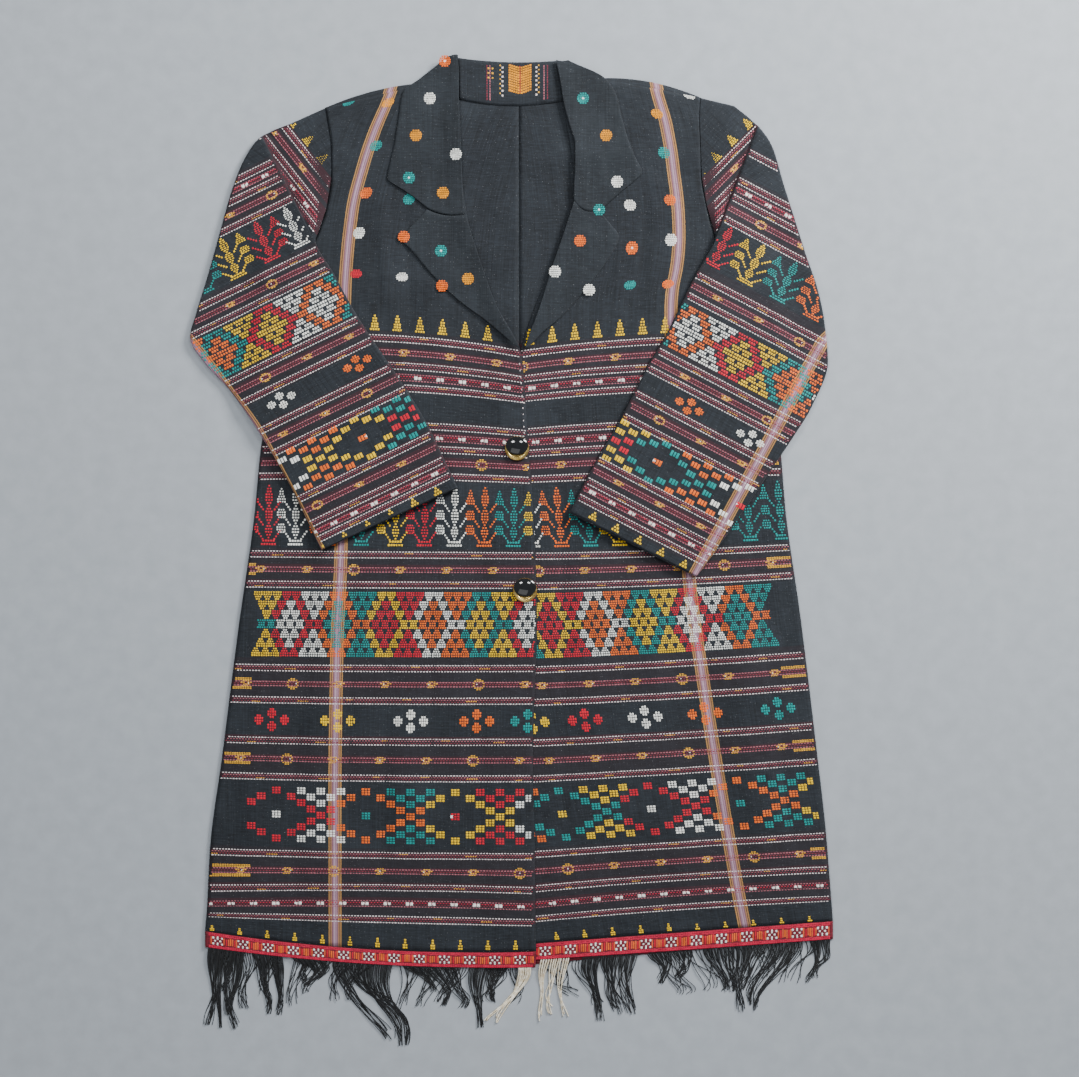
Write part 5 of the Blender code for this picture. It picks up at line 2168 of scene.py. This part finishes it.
@dataclass
class Fringe:
    """Loose warp ends below a hem, many fine threads in the space of the solid's strands.

    Attributes:
        node: The solid that it stands for.
        locks: Its locks.
        hem: The hem's row above it.
        level: Height of its roots.
        finish: The threads' finish.
        density: Threads for each strand of the solid.
        radius: A thread's radius at its root.
        slot: A name for the threads' material slot; not used.
        steps: Points along each thread.
    """

    node: str
    locks: list[Lock]
    hem: Callable[[Array], Array]
    level: float
    finish: SpunFringe
    slot: str
    density: int = 6
    radius: float = 0.55
    steps: int = 18

    def build(self) -> bpy.types.Object:
        """Builds all threads as one mesh of thin three-sided tubes.

        Returns:
            The mesh that stands for the solid.
        """
        points, faces = [], []
        base = 0
        for number, lock in enumerate(self.locks):
            count = lock.strands * self.density
            seed = number * 7.3 + len(self.node)
            across = (np.arange(count) + 0.5) / count
            root_x = lock.first_x + (lock.last_x - lock.first_x) * across + 0.5 * scatter(count, seed)
            tufts = max(2, lock.strands // 2)
            tuft = np.minimum((across * tufts).astype(int), tufts - 1)
            share_tip = (tuft + 0.5) / tufts + 0.09 * scatter(count, seed + 1)
            tip_x = lock.tip_first_x + (lock.tip_last_x - lock.tip_first_x) * share_tip
            short = 0.5 + 0.5 * scatter(count, seed + 2)
            root_y = self.hem(root_x) - 0.2
            shorter = 0.16 * short ** 2.2 + 0.16 * (1 + scatter(tufts, seed + 8)[tuft]) ** 1.5
            tip_y = lock.tip_y + (root_y - lock.tip_y) * shorter
            sway = 7.0 * scatter(tufts, seed + 9)[tuft] + 2.0 * scatter(count, seed + 3)
            phase = 3.1 * scatter(tufts, seed + 4)[tuft] + 0.5 * scatter(count, seed + 4)
            turns = 0.8 + 0.5 * np.abs(scatter(tufts, seed + 5))[tuft] + 0.1 * scatter(count, seed + 5)
            rest = 0.45 + 0.4 * (0.5 + 0.5 * scatter(count, seed + 6))
            for i in range(count):
                share = np.linspace(0, 1, self.steps)
                x = root_x[i] + (tip_x[i] - root_x[i]) * ease(share) + lock.curl * np.sin(np.pi * share)
                x = x + sway[i] * np.sin(2 * np.pi * turns[i] * share + phase[i]) * share
                y = root_y[i] + (tip_y[i] - root_y[i]) * share
                y = y + 0.5 * sway[i] * np.cos(2 * np.pi * turns[i] * share) * share * (1 - share) * 2
                z = rest[i] + (self.level - rest[i]) * (1 - ease(share * 2.2)) + 0.35 * np.sin(7 * share + i)
                z = np.maximum(z, 0.1 + 0.5 * self.radius)
                along = np.gradient(np.stack([x, y], -1), axis=0)
                along /= np.linalg.norm(along, axis=1)[:, None] + 1e-9
                side = np.stack([-along[:, 1], along[:, 0]], -1)
                radius = self.radius * (1 - 0.4 * share)
                half = side * radius[:, None]
                ring = [np.stack([x + half[:, 0] * c, y + half[:, 1] * c, z + radius * s], -1)
                        for c, s in ((-0.87, -0.5), (0.87, -0.5), (0.0, 1.0))]
                points.append(np.stack(ring, 1).reshape(-1, 3))
                numbers = base + np.arange(self.steps * 3).reshape(self.steps, 3)
                for k in range(3):
                    after = (k + 1) % 3
                    faces += np.stack([numbers[:-1, k], numbers[:-1, after], numbers[1:, after],
                                       numbers[1:, k]], -1).tolist()
                base += self.steps * 3
        made = make_mesh(self.node + "_threads", np.concatenate(points), faces, [self.finish.material()])
        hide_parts(self.node)
        LOG.info("%s: %d faces", self.node, len(faces))
        return made


# Shares of a button's radius and of its height, from the top outward and down
RIM_PROFILE = ((0.0, 0.36), (0.70, 0.38), (0.73, 0.47), (0.77, 0.52), (0.82, 0.53), (0.88, 0.51),
               (0.94, 0.45), (0.985, 0.36), (1.0, 0.27), (0.98, 0.16), (0.92, 0.06), (0.82, 0.0), (0.0, 0.0))
DOME_PROFILE = ((0.0, 1.0), (0.14, 0.985), (0.28, 0.945), (0.42, 0.875), (0.54, 0.79), (0.65, 0.68),
                (0.71, 0.60), (0.735, 0.55), (0.74, 0.48), (0.73, 0.40), (0.0, 0.40))


@dataclass
class DomeButton:
    """A black resin dome set in a turned gilt rim.

    Attributes:
        node: The solid that it stands for.
        x: Its middle's x.
        y: Its middle's y.
        radius: The rim's radius.
        tall: Height of the dome's top above the button's back.
        steps: Points round it.
    """

    node: str
    x: float
    y: float
    radius: float = 12.2
    tall: float = 6.4
    steps: int = 64

    def turned(self, name: str, profile: Sequence[tuple[float, float]], ground: float,
               material: bpy.types.Material, shift: float = 0.0, wide: float = 1.0) -> bpy.types.Object:
        """Turns a profile round the button's axis.

        Args:
            name: The piece's name.
            profile: Shares of the radius and of the height, from the top outward and down.
            ground: Height of the button's back.
            material: The piece's material.
            shift: How far it sits off the axis, toward the collar.
            wide: How much wider than tall it is.

        Returns:
            The turned piece.
        """
        angle = 2 * np.pi * np.arange(self.steps) / self.steps
        middle_y = self.y + shift
        points = [(self.x, middle_y, ground + profile[0][1] * self.tall)]
        for share, high in profile[1:-1]:
            reach = share * self.radius
            points += [(self.x + wide * reach * math.cos(a), middle_y + reach * math.sin(a),
                        ground + high * self.tall) for a in angle]
        points.append((self.x, middle_y, ground + profile[-1][1] * self.tall))
        last = len(points) - 1
        rings = len(profile) - 2
        faces = []
        for k in range(self.steps):
            after = (k + 1) % self.steps
            faces.append([0, 1 + k, 1 + after])
            for i in range(rings - 1):
                low, high = 1 + i * self.steps, 1 + (i + 1) * self.steps
                faces.append([low + k, high + k, high + after, low + after])
            bottom = 1 + (rings - 1) * self.steps
            faces.append([bottom + after, bottom + k, last])
        made = make_mesh(name, np.array(points), faces, [material])
        return made

    def build(self) -> None:
        """Builds the rim and the dome."""
        at = (np.array(float(self.x)), np.array(float(self.y)))
        ground = float(front_right_under(*at)) + WALL + 0.3
        rim = self.turned(self.node + "_rim", RIM_PROFILE, ground, GiltBrass().material())
        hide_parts(self.node)
        # The dome sits 2.7 mm off the axis toward the collar and is 1.25 times wider than tall, so that its
        # black covers the gilt rim's upper part and sides: painted dark reflection of the rim there, leaving
        # only a gold crescent below.
        self.turned(self.node + "_dome", DOME_PROFILE, ground, PolishedResin().material(), 2.7, 1.25)


def hem_of(row: Row) -> Callable[[Array], Array]:
    """Gives a hem's y for an x.

    Args:
        row: The hem's row.

    Returns:
        The y for an x.
    """
    rows = Rows([row, row], [0.0, 1.0])

    def height(x: Array) -> Array:
        """The hem's y."""
        zero = np.zeros(np.shape(x))
        return rows.point(np.clip(rows.share_at(np.asarray(x, float), zero), 0, 1), zero)[1]
    return height


def back_rows(front: Sequence[Row], top_row: Row, side: int) -> list[Row]:
    """Rows of one half of the back, out to the front's side edge and in to the centre seam.

    Args:
        front: The front's rows.
        top_row: The half's neck row.
        side: -1 for the wearer's right and 1 for the left.

    Returns:
        The rows from the hem up.
    """
    seam = CENTRE_BACK + side * SEAM_GAP / 2
    rows = []
    for row, inner_y in zip(front, SEAM_HEIGHTS):
        rows.append(Row(seam, inner_y, (seam + row.outer_x) / 2, (inner_y + row.outer_y) / 2,
                        row.outer_x, row.outer_y))
    return rows + [replace(top_row, inner_x=seam)]


# Creases of the fronts and of the back's inside, finer than the solids' folds
CREASES_RIGHT = [Fold(*fold) for fold in (
    (-217, 260, -222, 20, 9, -0.8), (-135, 290, -139, 20, 8, -0.8), (-62, 330, -60, 30, 8, 0.7),
    (-180, 300, -186, 40, 10, 0.7), (-100, 560, -104, 310, 9, -0.7), (-30, 600, -26, 420, 7, -0.6),
    (-140, 790, -134, 640, 6, 0.8), (-115, 770, -108, 640, 5, -0.8), (-88, 700, -80, 600, 6, 0.7),
    (-250, 200, -290, 60, 9, 0.7), (-110, 200, -90, 60, 7, 0.6), (-20, 300, -16, 60, 6, -0.6),
    (-232, 600, -262, 60, 5, -0.7), (-200, 470, -236, 60, 6, -0.8), (-160, 500, -176, 40, 5, -0.7),
    (-128, 560, -134, 60, 7, -0.8), (-86, 470, -88, 60, 5, -0.6), (-40, 560, -36, 60, 7, -0.6),
    (-150, 740, -112, 520, 6, -0.7), (-96, 700, -84, 560, 6, 0.6),
)]
CREASES_LEFT = [Fold(*fold) for fold in (
    (85, 310, 92, 30, 9, -0.8), (170, 330, 192, 40, 8, -0.8), (218, 300, 244, 60, 9, 0.7),
    (40, 560, 46, 310, 8, -0.7), (130, 420, 138, 200, 9, 0.7), (127, 790, 121, 630, 6, -0.8),
    (100, 750, 97, 630, 6, 0.8), (60, 660, 66, 520, 6, 0.7), (30, 240, 36, 50, 7, 0.6),
    (262, 220, 290, 70, 8, -0.7), (150, 170, 146, 50, 7, -0.6), (160, 800, 152, 700, 7, 0.7),
    (232, 420, 282, 60, 6, -0.8), (180, 430, 206, 50, 6, -0.8), (160, 500, 186, 120, 5, 0.6),
    (100, 470, 112, 50, 6, -0.7), (44, 540, 44, 60, 6, -0.5), (132, 760, 92, 540, 6, -0.7),
    (90, 700, 60, 560, 7, 0.5),
)]
CREASES_INSIDE = [Fold(*fold) for fold in (
    (-3.2, 866, -1.0, 640, 2.2, 0.5), (1.4, 866, 1.0, 640, 1.6, -0.3),
)]


class Jacket:
    """The whole jacket, piece by piece."""

    def build_body(self) -> None:
        """Builds the fronts and the back."""
        BodyPanel("front_right", Rows(FRONT_RIGHT, ROW_MARKS, LEAN_RIGHT), front_right_under,
                  CREASES_RIGHT, FRONT_RIGHT_BANDS, STRIPE_RIGHT, 1, (0.34, 0.875), 0.2242,
                  ("back_right", "front_left")).build()
        BodyPanel("front_left", Rows(FRONT_LEFT, ROW_MARKS, LEAN_LEFT), front_left_under,
                  CREASES_LEFT, FRONT_LEFT_BANDS, STRIPE_LEFT, 1, (0.33, 0.875), 0.2225,
                  ("back_left",)).build()
        for name, front, top_row, side, lean, stripe in (
                ("back_right", FRONT_RIGHT, BACK_TOP_RIGHT, -1, LEAN_RIGHT, STRIPE_RIGHT),
                ("back_left", FRONT_LEFT, BACK_TOP_LEFT, 1, LEAN_LEFT, STRIPE_LEFT)):
            # The back reaches a little under the armhole seams, so that no floor shows through them
            rows = [replace(row, outer_x=row.outer_x + side * 1.6) if row.outer_y > 726 else row
                    for row in back_rows(front, top_row, side)]
            BodyPanel(name, Rows(rows, ROW_MARKS, lean), back_under,
                      CREASES_INSIDE, BACK_BANDS, stripe, -1, (0.325, 0.87), 0.2235, (), 7.0).build()

    def build_collar(self) -> None:
        """Builds the collar and the lapels."""
        for node, table, under, flat, rests, creases in (
                ("collar_leaf_right", COLLAR_RIGHT, front_right_under, (0.082, 0.162), "front_right",
                 [Fold(-75, 845, -88, 762, 7, -0.5)]),
                ("collar_leaf_left", COLLAR_LEFT, front_left_under, (0.09, 0.155), "front_left",
                 [Fold(70, 850, 84, 775, 8, 0.4)]),
                ("lapel_right", LAPEL_RIGHT, front_right_under, (0.122, 0.14), "front_right",
                 [Fold(-98, 722, -50, 668, 8, 0.5)]),
                ("lapel_left", LAPEL_LEFT, front_left_under, (0.10, 0.148), "front_left",
                 [Fold(80, 738, 40, 660, 9, 0.5)])):
            TurnedPiece(node, table, under, creases, flat, (rests,), 4.0 if "leaf" in node else 0.0).build()
        CollarBand().build()

    def build_sleeves(self) -> None:
        """Builds both sleeves."""
        Sleeve("sleeve_right", SLEEVE_RIGHT, FRONT_RIGHT, front_right_under, -1, (-130, 448), 25.9, -77.0,
               SLEEVE_RIGHT_BANDS, FOLDS_SLEEVE_RIGHT,
               [Fold(-300, 690, -215, 668, 5, -0.8), Fold(-310, 640, -200, 642, 5, -0.6),
                Fold(-250, 760, -215, 700, 6, 0.7)], (0.30, 0.50), ((-201.7, 733.7), (-0.62, 0.785)),
               ((0, 134, 190, 249, 300, 420), (0, -4, -14, -26, -48, -110))).build()
        Sleeve("sleeve_left", SLEEVE_LEFT, FRONT_LEFT, front_left_under, 1, (112.5, 422), -27.7, 68.5,
               SLEEVE_LEFT_BANDS, FOLDS_SLEEVE_LEFT,
               [Fold(280, 700, 205, 676, 5, -0.8), Fold(292, 640, 190, 642, 5, -0.6),
                Fold(240, 780, 205, 705, 6, 0.7)], (0.30, 0.52), ((191.8, 735.2), (0.70, 0.714)),
               ((0, 134, 264, 300, 420), (0, 3, 5, 20, 80))).build()

    def build_hem(self) -> None:
        """Builds the tapes and the fringes."""
        HemTape("hem_tape_front_right", HEM_RIGHT, FRONT_RIGHT[0].lowered(SEAM_GAP), front_right_under, 1,
                [], ("back_right",)).build()
        HemTape("hem_tape_front_left", HEM_LEFT, FRONT_LEFT[0].lowered(SEAM_GAP), front_left_under, 1,
                [], ("back_left",)).build()
        hems = {}
        for name, front, top_row, side, hem in (("right", FRONT_RIGHT, BACK_TOP_RIGHT, -1, HEM_RIGHT),
                                                ("left", FRONT_LEFT, BACK_TOP_LEFT, 1, HEM_LEFT)):
            top = back_rows(front, top_row, side)[0].lowered(SEAM_GAP)
            bottom = replace(top.lowered(TAPE_HEIGHT), outer_y=hem.outer_y)
            hems[name] = hem_of(bottom)
            HemTape("hem_tape_back_" + name, bottom, top, back_under, -1, []).build()

        def back_hem(x: Array) -> Array:
            """The y of the back's hem, across both halves."""
            return np.where(x < CENTRE_BACK, hems["right"](x), hems["left"](x)) - SEAM_GAP

        black = SpunFringe("twisted_cotton_warp_ends_black", "#050607", "#191c20")
        cream = SpunFringe("twisted_cotton_warp_ends_cream", "#dccdae", "#fdf8ea")
        Fringe("fringe_front_right", [
            Lock(-312, -276, 9, -312, -284, -67, -2), Lock(-268, -238, 5, -262, -236, -56, 4),
            Lock(-228, -196, 6, -226, -200, -22, 8), Lock(-188, -128, 9, -136, -106, -80, -6),
            Lock(-118, -62, 7, -96, -54, -48, 6), Lock(-50, -12, 5, -44, -20, -66, -5),
        ], hem_of(HEM_RIGHT), 2.4, black, "black_thread").build()
        Fringe("fringe_front_left", [
            Lock(62, 118, 7, 74, 120, -60, -4), Lock(128, 172, 5, 132, 168, -18, 5),
            Lock(182, 282, 12, 205, 238, -46, 0), Lock(290, 310, 3, 286, 300, -18, 4),
        ], hem_of(HEM_LEFT), 2.4, black, "black_thread").build()
        Fringe("fringe_cream_right", [Lock(-2, 11, 4, -32, -22, -60, 4)], hem_of(HEM_RIGHT), 4.0, cream,
               "cream_thread", 2, 1.3).build()
        Fringe("fringe_cream_left", [Lock(20, 50, 6, 18, 48, -62, -4)], hem_of(HEM_LEFT), 2.4, cream,
               "cream_thread", 2, 1.1).build()
        Fringe("fringe_back", [
            Lock(-306, -240, 7, -302, -250, -52, 3), Lock(-226, -140, 8, -236, -160, -40, -4),
            Lock(-124, -50, 6, -130, -72, -58, 5), Lock(-38, 10, 5, -40, 2, -52, 3),
            Lock(24, 110, 7, 38, 118, -50, -5), Lock(126, 300, 11, 150, 280, -30, 5),
        ], back_hem, 0.85, black, "black_thread", 4).build()

    def build(self) -> None:
        """Builds every sub-assembly in order."""
        self.build_body()
        self.build_collar()
        self.build_sleeves()
        self.build_hem()
        DomeButton("button_upper", -3, 518.5).build()
        DomeButton("button_lower", 5, 377).build()


@dataclass
class Studio:
    """A pale plain floor, soft light from the collar's side, and the camera straight above.

    Attributes:
        view_width: Width of the view on the floor, in metres.
        focal: The lens's focal length.
        sensor: The sensor's width.
        middle: Middle of the view, in table millimetres.
    """

    view_width: float = 1.079
    focal: float = 70.0
    sensor: float = 36.0
    middle: tuple[float, float] = (19.5, 428.5)

    def build(self) -> None:
        """Builds the floor, the lights and the camera."""
        mesh = bpy.data.meshes.new("floor")
        size = 6.0
        mesh.from_pydata([(-size, -size, 0), (size, -size, 0), (size, size, 0), (-size, size, 0)], [],
                         [(0, 1, 2, 3)])
        material, tree, shader = new_material("painted_studio_floor", 0.8)
        mottle(tree, shader, 60.0, 3.0, [(0.3, linear("#a0a6ac")), (0.7, linear("#a8aeb4"))])
        mesh.materials.append(material)
        floor = bpy.data.objects.new("floor", mesh)
        bpy.context.scene.collection.objects.link(floor)
        self.light("key_light", (1.35, 1.4, 0.95), 0.6, 74.0)
        self.light("window_light", (-0.62, 1.1, 1.7), 0.42, 15.0)
        self.light("lamp_light", (0.62, 1.1, 1.7), 0.42, 11.0)
        self.light("fill_light", (-0.4, -1.5, 2.0), 1.8, 10.0)
        world = bpy.data.worlds.new("soft_room")
        world.use_nodes = True
        background = world.node_tree.nodes["Background"]
        background.inputs["Color"].default_value = linear("#c8ced6")
        background.inputs["Strength"].default_value = 0.5
        bpy.context.scene.world = world
        self.place_camera()

    def light(self, name: str, place: tuple[float, float, float], size: float, power: float) -> None:
        """Places a square soft light that looks at the jacket's middle.

        Args:
            name: The light's name.
            place: Where it hangs.
            size: Its side.
            power: Its power in watts.
        """
        lamp = bpy.data.lights.new(name, "AREA")
        lamp.size = size
        lamp.energy = power
        made = bpy.data.objects.new(name, lamp)
        made.location = place
        made.rotation_euler = (-Vector(place)).to_track_quat("-Z", "Y").to_euler()
        bpy.context.scene.collection.objects.link(made)

    def place_camera(self) -> None:
        """Places the camera straight above, so that its view is the photograph's."""
        lens = bpy.data.cameras.new("camera")
        lens.lens = self.focal
        lens.sensor_width = self.sensor
        lens.sensor_fit = "HORIZONTAL"
        made = bpy.data.objects.new("camera", lens)
        x, y, _ = to_world(np.array([self.middle[0], self.middle[1], 0.0]))
        made.location = (x, y, self.view_width * self.focal / self.sensor + 0.003)
        bpy.context.scene.collection.objects.link(made)
        bpy.context.scene.camera = made


def main() -> None:
    """Builds the jacket and its studio."""
    logging.basicConfig(level=logging.INFO, format="%(message)s")
    Jacket().build()
    Studio().build()
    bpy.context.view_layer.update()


if __name__ == "__main__":
    main()
